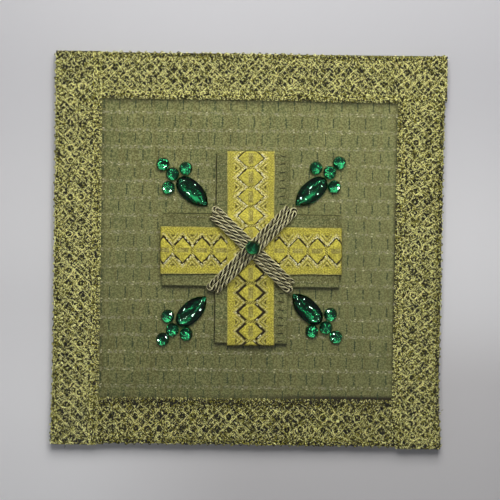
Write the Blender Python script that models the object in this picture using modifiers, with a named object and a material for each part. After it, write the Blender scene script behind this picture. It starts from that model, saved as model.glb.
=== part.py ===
"""A chalice pall: a stiff square covered in green cloth, with a gold lace border on its face.

In its middle is a raised cross of the same cloth with two crossed galloon ribbons on it, and over
these an X of laid gold cord with a green stone where its bars meet. A green navette with four
round stones lies between each two arms of the cross.

Metres, +Z up. The pall lies on its back, so its face looks up, and its top edge is towards +Y.
The origin is under the middle of the square, on the surface that the pall lies on.
"""

import math

import bmesh
import bpy
from mathutils import Matrix, Vector
from mathutils.geometry import delaunay_2d_cdt

MM = 0.001
GAP = 0.3 * MM
SAME_POINT = 0.0001 * MM
BEVEL_FROM = math.radians(50.0)

# The cloth-covered square
HALF_WIDTH = 85.0 * MM
HALF_HEIGHT = 85.3 * MM
PANEL_THICKNESS = 3.0 * MM
PANEL_EDGE_ROUND = 0.9 * MM
PANEL_EDGE_STEP = 24.0 * MM

# The lace border, which lies on the square
LACE_WIDTH = 19.7 * MM
LACE_BASE = 0.8 * MM
LACE_MEAN = 1.25 * MM
LACE_CROSSING_RISE = 0.25 * MM
LACE_CELL_DROP = 0.25 * MM
LACE_SELVEDGE = 1.2 * MM
CELL_ROW_SPACING = 5.35 * MM
FIRST_CELL_ROW = 6.7 * MM
PICOT_PITCH = 3.5 * MM
PICOT_REACH = 0.35 * MM
LACE_RIM = 0.5 * MM
LACE_END_STEPS = 7
SEAM_SHARE = 0.14

# How far each edge lies inside the full square: (share of the side's length, lace, cloth) in mm
BOTTOM_EDGE = ((0.0, 0.0, 0.3), (0.2, 0.75, 1.0), (0.5, 0.75, 1.0), (0.8, 0.85, 1.1), (1.0, 0.4, 0.7))
RIGHT_EDGE = ((0.0, 0.6, 0.9), (0.13, 1.8, 2.0), (0.5, 1.4, 1.65), (0.8, 1.1, 1.35), (1.0, 0.0, 0.3))
TOP_EDGE = ((0.0, 0.0, 0.3), (0.08, 0.65, 0.2), (0.2, 0.6, 0.3), (0.5, 0.1, 0.35), (1.0, 0.1, 0.4))
LEFT_EDGE = ((0.0, 0.0, 0.3), (0.3, 0.35, 0.6), (0.5, 0.45, 0.7), (0.8, 0.5, 0.75), (1.0, 0.0, 0.3))

# Each side of the square, as it is passed going round it from the bottom left corner:
# (name, quarter turns, edge, cell pitch and first cell from the middle in mm, and whether the
# strip's start and end stop at the strip across them or run on to the corner)
SIDES = (
    ("bottom", 0, BOTTOM_EDGE, 5.06, -2.4, True, True),
    ("right", 1, RIGHT_EDGE, 5.05, 1.7, False, True),
    ("top", 2, TOP_EDGE, 5.05, -1.7, False, True),
    ("left", 3, LEFT_EDGE, 5.28, -0.7, False, False),
)

# The shallow troughs in the cloth beside the lace
TROUGH_AT = 61.5 * MM
TROUGH_HALF_WIDTH = 4.5 * MM
TROUGH_BOTTOM = 0.35 * MM
TROUGH_OTHER = 0.15 * MM
FIELD_LINES = [v * MM for v in (-64.5, -61.5, -57.0, -38.0, -19.0, 0.0, 19.0, 38.0, 57.0, 61.5, 64.5)]

# The cross: where its arms begin and end
CROSS_THICKNESS = 1.5 * MM
CROSS_EDGE_ROUND = 0.45 * MM
CROSS_LEFT, CROSS_RIGHT = -37.3 * MM, 39.2 * MM
CROSS_BOTTOM, CROSS_TOP = -40.3 * MM, 41.7 * MM
UPRIGHT_LEFT, UPRIGHT_RIGHT = -14.3 * MM, 17.0 * MM
BAR_BOTTOM, BAR_TOP = -15.8 * MM, 15.3 * MM

# The galloon ribbons on the cross
RIBBON_WIDTH = 20.2 * MM
RIBBON_THICKNESS = 0.5 * MM
LOZENGE_PITCH = 8.27 * MM
LOZENGE_HALF_WIDTH = 5.9 * MM
LOZENGE_RISE = 0.3 * MM
RIBBON_STEP_HALF = 1.5 * LOZENGE_PITCH
RIBBON_STEP_RUN = 0.5 * LOZENGE_PITCH
RIBBON_BEND = RIBBON_THICKNESS + 0.35 * MM
RIBBON_END_CLEARANCE = 0.4 * MM
ACROSS_MIDDLE, ACROSS_ANGLE = Vector((0.95 * MM, -0.25 * MM, 0.0)), math.radians(0.37)
UPRIGHT_MIDDLE, UPRIGHT_ANGLE = Vector((0.8 * MM, 0.7 * MM, 0.0)), math.radians(90.68)

# The laid cord: three plies, three runs side by side to a bar
CORD_WIDTH = 1.95 * MM
CORD_FLATNESS = 0.8
CORD_PLIES = 3
CORD_VALLEY = 0.76
CORD_LAY = 8.7 * MM
CORD_STEPS_PER_TURN = 8
RUN_PITCH = 2.2 * MM
X_MIDDLE = Vector((1.4 * MM, 0.2 * MM, 0.0))
UNDER_LENGTH, UNDER_ANGLE = 49.8 * MM, math.radians(-43.6)
OVER_LENGTH, OVER_ANGLE = 51.6 * MM, math.radians(45.9)
CORD_ON_RIBBONS = 17.2 * MM
CORD_ON_CLOTH = 21.4 * MM
CORD_DROOP_FROM = 21.6 * MM
CORD_DROOP_RUN = 4.0 * MM
CORD_DROOP = 0.8 * MM
HUMP_TOP = 2.4 * MM
HUMP_FOOT = 7.4 * MM

# The stones
ROUND_RADIUS = 2.8 * MM
ROUND_HEIGHT = 1.9 * MM
CENTRE_RADIUS = 3.1 * MM
CENTRE_HEIGHT = 2.0 * MM
CENTRE_AT = Vector((1.6 * MM, 0.95 * MM, 0.0))
GIRDLE = 0.45 * MM
TABLE_SHARE = 0.58
STONE_SIDES = 12
NAVETTE_LENGTH = 17.2 * MM
NAVETTE_WIDTH = 9.2 * MM
NAVETTE_HEIGHT = 2.9 * MM
NAVETTE_ARC_STEPS = 7

# Each corner's spray of stones: (name, navette x and y in mm, its heading in degrees,
# then each round stone's place along and across the heading from the navette's middle, in mm)
SPRAYS = (
    ("top_left", -24.55, 24.67, 138.3, ((11.75, 0.1), (17.65, -0.2), (9.2, -5.5), (9.1, 5.7))),
    ("top_right", 26.36, 25.37, 41.4, ((11.72, 1.1), (17.55, 1.5), (8.5, 6.4), (9.2, -4.9))),
    ("bottom_right", 25.29, -24.92, -45.0, ((11.72, 0.2), (17.6, 0.4), (8.6, -5.3), (9.0, 5.6))),
    ("bottom_left", -24.19, -26.59, 226.0, ((11.75, -0.3), (17.6, -0.4), (8.9, 5.2), (9.0, -5.8))),
)

FACE_HEIGHT = PANEL_THICKNESS + GAP
CROSS_HEIGHT = FACE_HEIGHT + CROSS_THICKNESS
LOWER_RIBBON = CROSS_HEIGHT + GAP
UPPER_RIBBON = LOWER_RIBBON + RIBBON_THICKNESS + GAP
CORD_HALF_HEIGHT = CORD_WIDTH * CORD_FLATNESS / 2
CORD_HIGH = UPPER_RIBBON + RIBBON_THICKNESS + GAP + CORD_HALF_HEIGHT
CORD_LOW = CROSS_HEIGHT + GAP + CORD_HALF_HEIGHT
CORD_HUMP = CORD_HIGH + 2 * CORD_HALF_HEIGHT + GAP
CENTRE_SEAT = CORD_HUMP + CORD_HALF_HEIGHT + GAP

GREEN_CLOTH = ("green_cloth", (0.16, 0.18, 0.065), 0.6, 0.0)
GOLD_LACE = ("gold_lace", (0.30, 0.26, 0.08), 0.4, 0.7)
YELLOW_GALLOON = ("yellow_galloon", (0.42, 0.36, 0.07), 0.42, 0.4)
GOLD_CORD = ("gold_cord", (0.42, 0.38, 0.24), 0.38, 0.6)
GREEN_STONE = ("green_stone", (0.0, 0.22, 0.08), 0.05, 0.0)


def clear_scene():
    for thing in list(bpy.data.objects):
        bpy.data.objects.remove(thing, do_unlink=True)


def material(name, colour, roughness, metallic):
    found = bpy.data.materials.get(name)
    if found:
        return found
    made = bpy.data.materials.new(name)
    made.use_nodes = True
    shader = made.node_tree.nodes["Principled BSDF"]
    shader.inputs["Base Color"].default_value = (*colour, 1.0)
    shader.inputs["Roughness"].default_value = roughness
    shader.inputs["Metallic"].default_value = metallic
    return made


def add_object(name, mesh, finish, collection, place=None):
    piece = bpy.data.objects.new(name, mesh)
    if not mesh.materials:
        mesh.materials.append(material(*finish))
    if place is not None:
        piece.matrix_world = place
    collection.objects.link(piece)
    return piece


def mesh_from(name, bm):
    bmesh.ops.recalc_face_normals(bm, faces=bm.faces[:])
    mesh = bpy.data.meshes.new(name)
    bm.to_mesh(mesh)
    bm.free()
    return mesh


def smoothstep(share):
    share = min(1.0, max(0.0, share))
    return share * share * (3.0 - 2.0 * share)


def edge_inset(edge, share, column):
    """How far the edge lies inside the full square there: column 1 is the lace's, 2 the cloth's."""
    for before, after in zip(edge, edge[1:]):
        if share <= after[0]:
            along = smoothstep((share - before[0]) / (after[0] - before[0]))
            return (before[column] + (after[column] - before[column]) * along) * MM
    return edge[-1][column] * MM


def slab(name, outline, inside, lines, top_height, floor_height):
    """A closed slab on the outline, whose upper face passes through the points inside it."""
    rim = list(range(len(outline)))
    points = [Vector(p) for p in outline + inside]
    flat_points, _edges, triangles = delaunay_2d_cdt(points, lines, [rim], 1, SAME_POINT)[:3]
    bm = bmesh.new()
    verts = [bm.verts.new((p.x, p.y, top_height(p.x, p.y))) for p in flat_points]
    for face in triangles:
        bm.faces.new([verts[i] for i in face])
    loose = [v for v in bm.verts if not v.link_faces]
    bmesh.ops.delete(bm, geom=loose, context="VERTS")
    border = [e for e in bm.edges if e.is_boundary]
    walls = bmesh.ops.extrude_edge_only(bm, edges=border)["geom"]
    for vert in walls:
        if isinstance(vert, bmesh.types.BMVert):
            vert.co.z = floor_height
    foot = [e for e in walls if isinstance(e, bmesh.types.BMEdge) and e.is_boundary]
    bmesh.ops.contextual_create(bm, geom=foot)
    return mesh_from(name, bm)


def bevel_rim(piece, width, segments):
    bevel = piece.modifiers.new("rounded edge", "BEVEL")
    bevel.width = width
    bevel.segments = segments
    bevel.limit_method = "ANGLE"
    bevel.angle_limit = BEVEL_FROM


def side_frame(quarter_turns):
    """A side's own frame: X along it, Y into the square, origin at the side's first corner."""
    turn = Matrix.Rotation(math.radians(90.0 * quarter_turns), 4, "Z")
    upright = quarter_turns % 2 == 1
    along, inward = (HALF_HEIGHT, HALF_WIDTH) if upright else (HALF_WIDTH, HALF_HEIGHT)
    return turn @ Matrix.Translation((-along, -inward, 0.0)), 2.0 * along


def field_height(x, y):
    """The face of the cloth, with a shallow trough beside the lace, deepest at the bottom."""

    def trough(distance, depth):
        return depth * (1.0 - smoothstep(abs(distance) / TROUGH_HALF_WIDTH))

    dips = (
        trough(y + TROUGH_AT, TROUGH_BOTTOM),
        trough(y - TROUGH_AT, TROUGH_OTHER),
        trough(x + TROUGH_AT, TROUGH_OTHER),
        trough(x - TROUGH_AT, TROUGH_OTHER),
    )
    inside = max(abs(x), abs(y)) < TROUGH_AT + TROUGH_HALF_WIDTH
    return PANEL_THICKNESS - (max(dips) if inside else 0.0)


def build_panel(collection):
    outline = []
    for _name, turns, edge, *_rest in SIDES:
        frame, length = side_frame(turns)
        steps = round(length / PANEL_EDGE_STEP)
        before = SIDES[turns - 1][2]
        corner = frame @ Vector((edge_inset(before, 1.0, 2), edge_inset(edge, 0.0, 2), 0.0))
        outline.append((corner.x, corner.y))
        for step in range(1, steps):
            share = step / steps
            point = frame @ Vector((share * length, edge_inset(edge, share, 2), 0.0))
            outline.append((point.x, point.y))
    inside = [(x, y) for x in FIELD_LINES for y in FIELD_LINES]
    mesh = slab("panel", outline, inside, [], field_height, 0.0)
    panel = add_object("panel", mesh, GREEN_CLOTH, collection)
    bevel_rim(panel, PANEL_EDGE_ROUND, 2)


def lace_height(across_cells, along_cells):
    """The lace's relief: cells sunk between ridges that cross, and a shallow diamond between cells."""
    along = math.cos(2.0 * math.pi * along_cells)
    across = math.cos(2.0 * math.pi * across_cells)
    return LACE_MEAN - LACE_CROSSING_RISE * along * across - LACE_CELL_DROP * (along + across) / 2.0


def seam(edge, at_start):
    """How far from the corner a strip stops to clear the inner edge of the one across its end."""
    steps = [SEAM_SHARE * step / 8 for step in range(9)]
    shares = steps if at_start else [1.0 - step for step in steps]
    deepest = max(edge_inset(edge, share, 1) for share in shares)
    return deepest + LACE_WIDTH + 2 * PICOT_REACH + GAP


def lace_outline(edge, length, start, end):
    """Down the outer edge and back along the inner one, with a picot at every other point."""
    count = 2 * round((end - start) / PICOT_PITCH)
    outer, inner = [], []
    for step in range(count + 1):
        along = start + (end - start) * step / count
        picot = PICOT_REACH if step % 2 == 1 else 0.0
        edge_at = edge_inset(edge, along / length, 1) + PICOT_REACH
        outer.append((along, edge_at - picot))
        inner.append((along, edge_at + LACE_WIDTH + picot))
    cuts = [step / LACE_END_STEPS for step in range(1, LACE_END_STEPS)]
    far_end = [(end, outer[-1][1] + LACE_WIDTH * cut) for cut in cuts]
    near_end = [(start, inner[0][1] - LACE_WIDTH * cut) for cut in cuts]
    return outer + far_end + inner[::-1] + near_end


def build_lace(collection):
    for name, turns, edge, pitch_mm, first_cell, starts_at_seam, ends_at_seam in SIDES:
        frame, length = side_frame(turns)
        pitch = pitch_mm * MM
        before, after = SIDES[turns - 1][2], SIDES[(turns + 1) % 4][2]
        start = seam(before, False) if starts_at_seam else 0.0
        end = length - seam(after, True) if ends_at_seam else length
        middle = length / 2 + first_cell * MM
        outline = lace_outline(edge, length, start, end)
        rows = [FIRST_CELL_ROW + CELL_ROW_SPACING * half / 2 for half in range(-1, 4)]
        selvedges = (rows[0] / 2, (rows[-1] + LACE_WIDTH) / 2)
        lowest = math.ceil((start + MM - middle) / (pitch / 2))
        highest = math.floor((end - MM - middle) / (pitch / 2))
        inside, index_of, crossings = [], {}, []
        for column in range(lowest, highest + 1):
            along = middle + column * pitch / 2
            shift = edge_inset(edge, along / length, 1) + PICOT_REACH
            for row, across in enumerate((selvedges[0], *rows, selvedges[1])):
                index_of[column, row] = len(outline) + len(inside)
                inside.append((along, shift + across))
                if 0 < row < 6 and (column + row) % 2 == 1:
                    crossings.append((column, row))
        lines = [
            (index_of[column, row], index_of[column + 1, row + step])
            for column, row in crossings
            for step in (-1, 1)
            if (column + 1, row + step) in index_of and 0 < row + step < 6
        ]

        def height(x, y, edge=edge, length=length, middle=middle, pitch=pitch, start=start, end=end):
            shift = edge_inset(edge, x / length, 1) + PICOT_REACH
            across = (y - shift - FIRST_CELL_ROW) / CELL_ROW_SPACING
            on_rim = min(x - start, end - x, y - shift, shift + LACE_WIDTH - y) < LACE_RIM
            if on_rim:
                return FACE_HEIGHT + LACE_BASE
            if abs(across - 0.5) > 1.1:
                return FACE_HEIGHT + LACE_SELVEDGE
            return FACE_HEIGHT + lace_height(across, (x - middle) / pitch)

        mesh = slab("lace_" + name, outline, inside, lines, height, FACE_HEIGHT)
        add_object("lace_" + name, mesh, GOLD_LACE, collection, frame)


def build_cross_base(collection):
    outline = [
        (UPRIGHT_LEFT, CROSS_BOTTOM), (UPRIGHT_RIGHT, CROSS_BOTTOM), (UPRIGHT_RIGHT, BAR_BOTTOM),
        (CROSS_RIGHT, BAR_BOTTOM), (CROSS_RIGHT, BAR_TOP), (UPRIGHT_RIGHT, BAR_TOP),
        (UPRIGHT_RIGHT, CROSS_TOP), (UPRIGHT_LEFT, CROSS_TOP), (UPRIGHT_LEFT, BAR_TOP),
        (CROSS_LEFT, BAR_TOP), (CROSS_LEFT, BAR_BOTTOM), (UPRIGHT_LEFT, BAR_BOTTOM),
    ]
    mesh = slab("cross_base", outline, [], [], lambda x, y: CROSS_HEIGHT, FACE_HEIGHT)
    bevel_rim(add_object("cross_base", mesh, GREEN_CLOTH, collection), CROSS_EDGE_ROUND, 2)


def ribbon_stations(half_length, step_height):
    """(distance along, height over the ribbon's flat run, raised lozenge or not) from end to end."""
    last = math.floor((half_length - RIBBON_BEND - MM) / (LOZENGE_PITCH / 2))
    flat = []
    for half in range(-last, last + 1):
        along = half * LOZENGE_PITCH / 2
        over = 1.0 - smoothstep((abs(along) - RIBBON_STEP_HALF) / RIBBON_STEP_RUN)
        raised = half % 2 == 0 and abs(along) > RIBBON_WIDTH / 2
        flat.append((along, step_height * over, raised))
    shoulder = half_length - RIBBON_BEND
    end = [
        (shoulder, 0.0, False),
        (shoulder + 0.7 * RIBBON_BEND, -0.25 * RIBBON_BEND, False),
        (half_length, -RIBBON_BEND, False),
        (half_length, PANEL_THICKNESS + RIBBON_END_CLEARANCE - LOWER_RIBBON - RIBBON_THICKNESS, False),
    ]
    return [(-along, rise, mark) for along, rise, mark in end[::-1]] + flat + end


def build_ribbon(name, length, step_height, middle, angle, collection):
    stations = ribbon_stations(length / 2, step_height)
    across = (-RIBBON_WIDTH / 2, -LOZENGE_HALF_WIDTH, 0.0, LOZENGE_HALF_WIDTH, RIBBON_WIDTH / 2)
    bm = bmesh.new()
    bmesh.ops.create_grid(bm, x_segments=len(stations) - 1, y_segments=len(across) - 1, size=1.0)
    columns = sorted({round(v.co.x, 5) for v in bm.verts})
    rows = sorted({round(v.co.y, 5) for v in bm.verts})
    raised = set()
    for vert in bm.verts:
        along, rise, lozenge = stations[columns.index(round(vert.co.x, 5))]
        side = across[rows.index(round(vert.co.y, 5))]
        if lozenge and side == 0.0:
            rise += LOZENGE_RISE
            raised.add(vert)
        vert.co = (along, side, LOWER_RIBBON + RIBBON_THICKNESS + rise)
    for face in [f for v in raised for f in v.link_faces]:
        corners = list(face.verts)
        at = next(i for i, v in enumerate(corners) if v in raised)
        bmesh.utils.face_split(face, corners[at - 1], corners[(at + 1) % 4])
    mesh = mesh_from(name, bm)
    place = Matrix.Translation(middle) @ Matrix.Rotation(angle, 4, "Z")
    ribbon = add_object(name, mesh, YELLOW_GALLOON, collection, place)
    solid = ribbon.modifiers.new("woven thickness", "SOLIDIFY")
    solid.thickness = RIBBON_THICKNESS
    solid.offset = -1.0
    solid.use_even_offset = True


def cord_centre_height(distance, goes_over):
    """The cord's centre line: up on the ribbons, down on the cross, and over the other bar."""
    onto_cloth = (distance - CORD_ON_RIBBONS) / (CORD_ON_CLOTH - CORD_ON_RIBBONS)
    height = CORD_HIGH + (CORD_LOW - CORD_HIGH) * smoothstep(onto_cloth)
    if distance > CORD_DROOP_FROM:
        height -= CORD_DROOP * smoothstep((distance - CORD_DROOP_FROM) / CORD_DROOP_RUN)
    if goes_over:
        hump = 1.0 - smoothstep((distance - HUMP_TOP) / (HUMP_FOOT - HUMP_TOP))
        height += (CORD_HUMP - CORD_HIGH) * hump
    return height


def cord_path(length, goes_over):
    """Three runs back and forth, joined by half turns at the bar's ends, in even steps."""
    radius = RUN_PITCH / 2
    reach = length / 2 - radius - CORD_WIDTH / 2
    run, turn = 2 * reach, math.pi * radius
    total = 3 * run + 2 * turn
    count = round(total * CORD_STEPS_PER_TURN / CORD_LAY)
    path = []
    for step in range(count + 1):
        left = total * step / count
        lane = 0
        while lane < 2 and left > run + turn:
            left -= run + turn
            lane += 1
        way = 1 if lane % 2 == 0 else -1
        centre = (lane - 1) * RUN_PITCH
        if left <= run:
            along, side = way * (left - reach), centre
        else:
            turned = (left - run) / radius
            along = way * (reach + radius * math.sin(turned))
            side = centre + radius * (1.0 - math.cos(turned))
        path.append(Vector((along, side, cord_centre_height(math.hypot(along, side), goes_over))))
    return path, total / count


def build_cord(name, length, angle, goes_over, collection):
    path, step = cord_path(length, goes_over)
    around = 2 * CORD_PLIES
    bm = bmesh.new()
    rings = []
    for i, centre in enumerate(path):
        ahead = path[min(i + 1, len(path) - 1)] - path[max(i - 1, 0)]
        sideways = Vector((-ahead.y, ahead.x, 0.0)).normalized()
        upwards = ahead.normalized().cross(sideways)
        twist = -2.0 * math.pi * i * step / CORD_LAY
        ring = []
        for corner in range(around):
            radius = CORD_WIDTH / 2 * (1.0 if corner % 2 == 0 else CORD_VALLEY)
            turn = twist + 2.0 * math.pi * corner / around
            offset = sideways * math.cos(turn) + upwards * math.sin(turn) * CORD_FLATNESS
            ring.append(bm.verts.new(centre + radius * offset))
        rings.append(ring)
    for one, two in zip(rings, rings[1:]):
        for corner in range(around):
            after = (corner + 1) % around
            bm.faces.new((one[corner], one[after], two[after], two[corner]))
    bm.faces.new(rings[0][::-1])
    bm.faces.new(rings[-1])
    mesh = mesh_from(name, bm)
    place = Matrix.Translation(X_MIDDLE) @ Matrix.Rotation(angle, 4, "Z")
    add_object(name, mesh, GOLD_CORD, collection, place)


def crown(bm, inset, height):
    """Raises the sloping crown and the flat table on the stone's girdle."""
    top = max(bm.faces, key=lambda f: f.calc_center_median().z)
    bmesh.ops.inset_individual(bm, faces=[top], thickness=inset, depth=height)


def round_stone_mesh(name, radius, height):
    bm = bmesh.new()
    seat = Matrix.Translation((0.0, 0.0, GIRDLE / 2))
    bmesh.ops.create_cone(
        bm, cap_ends=True, segments=STONE_SIDES, radius1=radius, radius2=radius, depth=GIRDLE, matrix=seat
    )
    crown(bm, radius * (1.0 - TABLE_SHARE), height - GIRDLE)
    return mesh_from(name, bm)


def navette_mesh():
    """A pointed oval: two equal arcs that meet at the tips."""
    half_length, half_width = NAVETTE_LENGTH / 2, NAVETTE_WIDTH / 2
    radius = (half_length ** 2 + half_width ** 2) / (2 * half_width)
    sweep = math.asin(half_length / radius)
    bm = bmesh.new()
    rim = []
    for side in (1, -1):
        for step in range(NAVETTE_ARC_STEPS):
            turn = sweep * (1.0 - 2.0 * step / NAVETTE_ARC_STEPS)
            x = side * radius * math.sin(turn)
            y = side * (radius * math.cos(turn) - radius + half_width)
            rim.append(bm.verts.new((x, y, 0.0)))
    base = bm.faces.new(rim)
    lifted = bmesh.ops.extrude_face_region(bm, geom=[base])["geom"]
    for vert in lifted:
        if isinstance(vert, bmesh.types.BMVert):
            vert.co.z = GIRDLE
    top = next(f for f in lifted if isinstance(f, bmesh.types.BMFace))
    lifted = bmesh.ops.extrude_discrete_faces(bm, faces=[top])["faces"][0]
    for vert in lifted.verts:
        vert.co = (vert.co.x * TABLE_SHARE, vert.co.y * TABLE_SHARE, NAVETTE_HEIGHT)
    return mesh_from("navette", bm)


def build_stones(collection):
    round_mesh = round_stone_mesh("round_stone", ROUND_RADIUS, ROUND_HEIGHT)
    pointed_mesh = navette_mesh()
    seat = Vector((0.0, 0.0, FACE_HEIGHT))
    for name, x, y, heading, rounds in SPRAYS:
        turn = Matrix.Rotation(math.radians(heading), 4, "Z")
        spray = Matrix.Translation(Vector((x * MM, y * MM, 0.0)) + seat) @ turn
        add_object("navette_" + name, pointed_mesh, GREEN_STONE, collection, spray)
        for number, (along, across) in enumerate(rounds, 1):
            place = spray @ Matrix.Translation((along * MM, across * MM, 0.0))
            add_object(f"stone_{name}_{number}", round_mesh, GREEN_STONE, collection, place)
    centre_mesh = round_stone_mesh("centre_stone", CENTRE_RADIUS, CENTRE_HEIGHT)
    place = Matrix.Translation(CENTRE_AT + Vector((0.0, 0.0, CENTRE_SEAT)))
    add_object("stone_centre", centre_mesh, GREEN_STONE, collection, place)


def build():
    clear_scene()
    collection = bpy.data.collections.new("chalice pall")
    bpy.context.scene.collection.children.link(collection)
    build_panel(collection)
    build_lace(collection)
    build_cross_base(collection)
    across_length = CROSS_RIGHT - CROSS_LEFT + 2 * RIBBON_BEND
    upright_length = CROSS_TOP - CROSS_BOTTOM + 2 * RIBBON_BEND
    step = UPPER_RIBBON - LOWER_RIBBON
    build_ribbon("ribbon_across", across_length, 0.0, ACROSS_MIDDLE, ACROSS_ANGLE, collection)
    build_ribbon("ribbon_upright", upright_length, step, UPRIGHT_MIDDLE, UPRIGHT_ANGLE, collection)
    build_cord("cord_under", UNDER_LENGTH, UNDER_ANGLE, False, collection)
    build_cord("cord_over", OVER_LENGTH, OVER_ANGLE, True, collection)
    build_stones(collection)


build()
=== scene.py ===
"""The looks of a chalice pall: its jacquard cloth, lace of metallic threads, woven galloon ribbons,
laid gold cord and green foil-backed stones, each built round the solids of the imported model.

Metres, +Z up, with the pall's face up. Sizes are written in millimetres and times MM where they
reach the scene. The threads are worked out as paths in millimetres.
"""

import math
from itertools import product

import bpy
import numpy as np
from mathutils import Matrix, Vector


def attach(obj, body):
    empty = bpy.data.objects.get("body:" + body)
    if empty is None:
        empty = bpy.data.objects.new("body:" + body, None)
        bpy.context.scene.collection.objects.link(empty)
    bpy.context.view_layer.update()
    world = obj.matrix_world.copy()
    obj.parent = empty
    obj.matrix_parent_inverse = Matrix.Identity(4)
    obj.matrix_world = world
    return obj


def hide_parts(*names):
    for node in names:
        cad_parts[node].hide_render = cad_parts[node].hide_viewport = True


MM = 0.001

# The camera stands straight above, turned a little, as the photograph was taken
CAMERA_AT = (0.47, 0.0, 454.0)
CAMERA_TURN = math.radians(0.79)
CAMERA_LENS = 75.09

# How far the floor reaches to each side, in mm
FLOOR_REACH = 1500.0

# Small lamps that only the stones and the metal threads mirror: (turn from +X, lean from straight
# above, both in degrees), then how far off they are and how large, in mm, and their watts
SPARKS = (
    (15.0, 50.0), (33.8, 41.0), (57.0, 66.0), (90.0, 58.0), (119.9, 41.0), (147.6, 62.0), (175.0, 28.0),
    (196.0, 52.0), (217.0, 44.0), (262.0, 60.0), (285.0, 26.0), (304.5, 41.0), (323.1, 62.0), (345.0, 52.0),
    (75.0, 12.0),
)
SPARK_DISTANCE = 800.0
SPARK_SIZE = 62.0
SPARK_POWER = 0.6

# The square and the heights that its pieces lie at, in mm
HALF_WIDTH = 85.0
HALF_HEIGHT = 85.3
FACE = 3.3
CROSS_TOP_FACE = 4.8
PANEL_THICKNESS = 3.0
PANEL_ROUND = 0.9
PANEL_STEP = 1.6
PANEL_RIM = (0.0, 0.1, 0.3, 0.6, 0.95)
TROUGH_AT = 61.5
TROUGH_HALF_WIDTH = 4.5
TROUGH_BOTTOM = 0.35
TROUGH_OTHER = 0.15

# How far each edge lies inside the full square: (share of the side's length, lace, cloth) in mm
BOTTOM_EDGE = ((0.0, 0.0, 0.3), (0.2, 0.75, 1.0), (0.5, 0.75, 1.0), (0.8, 0.85, 1.1), (1.0, 0.4, 0.7))
RIGHT_EDGE = ((0.0, 0.6, 0.9), (0.13, 1.8, 2.0), (0.5, 1.4, 1.65), (0.8, 1.1, 1.35), (1.0, 0.0, 0.3))
TOP_EDGE = ((0.0, 0.0, 0.3), (0.08, 0.65, 0.2), (0.2, 0.6, 0.3), (0.5, 0.1, 0.35), (1.0, 0.1, 0.4))
LEFT_EDGE = ((0.0, 0.0, 0.3), (0.3, 0.35, 0.6), (0.5, 0.45, 0.7), (0.8, 0.5, 0.75), (1.0, 0.0, 0.3))

# Each side: (name, quarter turns, edge, cell pitch and first cell from the middle in mm, and
# whether the strip's start and end stop at the strip across them or run on to the corner)
SIDES = (
    ("bottom", 0, BOTTOM_EDGE, 5.06, -2.4, True, True),
    ("right", 1, RIGHT_EDGE, 5.05, 1.7, False, True),
    ("top", 2, TOP_EDGE, 5.05, -1.7, False, True),
    ("left", 3, LEFT_EDGE, 5.28, -0.7, False, False),
)

# The lace, in mm: two rows of loops at the outer edge, two rows of cells, two rows of loops again
LACE_WIDTH = 19.7
LACE_LAP = 0.7
SELVEDGE_ROWS = (0.95, 2.45)
SELVEDGE_LOOP = 1.7
GROUND_ROWS = (3.9, 9.4, 14.8)
GROUND_STEP = 0.75
CELL_ROW_SPACING = 5.35
FIRST_CELL_ROW = 6.7
CELL_RADIUS = 1.6
LATTICE_FROM, LATTICE_TO = 2.6, LACE_WIDTH - 2.4
LATTICE_STEP = 0.62
PICOT_PITCH = 3.5
PICOT_REACH = 0.35
SEAM_SHARE = 0.14
PLAIN_CORNER = 15.0
PLAIN_SEAM = 1.0
CORNER_GAP = 0.3
STROKES_FOR_EACH_MM = 61
FLOAT_RADIUS = 0.15
NET_STEP = 1.2
NET_COLUMNS = 18
NET_INSET = 0.25

# What differs between the sides: the share of cells with a clear ring, how much darker the cells
# are than the threads round them, the lean of the brighter floats, and each strip's painted light
# and shade, which makes its threads paler on the left and darker at the bottom, as the light falls
RINGED = {"bottom": 0.6, "right": 0.65, "top": 0.3, "left": 0.5}
# How much painted shade darkens the threads in each side's open cells
CELL_PAINTED_SHADE = {"bottom": 1.1, "right": 0.9, "top": 0.6, "left": 0.8}
BRIGHTER_LEAN = {"right": -1.0, "left": 1.0}
STRIP_PAINTED_LIGHT = {"bottom": -0.2, "right": 0.02, "top": 0.0, "left": 0.12}

# Single ends of thread that stand out of the lace: (side, x and y where it starts and where it
# ends, height of the tip over the face, all in mm, and its tint)
LOOSE_ENDS = (
    ("bottom", (-78.2, -84.6), (-78.5, -86.9), 0.1, 0.1),
    ("bottom", (82.2, -84.6), (82.8, -85.6), 0.35, 0.0),
    ("right", (83.6, -68.4), (85.0, -67.6), 0.12, 0.3),
    # The next end's palest tint is a painted glint.
    ("right", (84.9, 83.1), (85.3, 83.8), 0.4, 2.0),
)

# The jacquard: columns of dashes, and rows of paired dots between them, in mm. DASH_BEADS is
# in radians for each mm, and the painted shadow beside the lace is measured from the pall's middle.
COLUMN_PITCH = 3.43
COLUMN_AT = 1.64
DOT_ROW_PITCH = 7.39
DOT_ROW_AT = 58.8
DOT_PAIR = 1.2
DASH_LENGTH = 4.35
DASH_WIDTH = 0.5
DASH_BEADS = 8.05
SHADOW_FROM, SHADOW_TO = 61.7, 63.6

# The cross, in mm from the square's middle: its edges, their rounding, the cloth kept clear round
# it, how deep its foot lies in the cloth, and the crease along its edge as (inset, depth)
CROSS_LEFT, CROSS_RIGHT = -37.3, 39.2
CROSS_BOTTOM, CROSS_TOP = -40.3, 41.7
UPRIGHT_LEFT, UPRIGHT_RIGHT = -14.3, 17.0
BAR_BOTTOM, BAR_TOP = -15.8, 15.3
CROSS_ROUND = 0.45
CROSS_CLEAR = 0.4
CROSS_FOOT = 0.25
CROSS_CREASE = ((1.3, 0.02), (1.7, 0.14), (2.1, 0.02))

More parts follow.
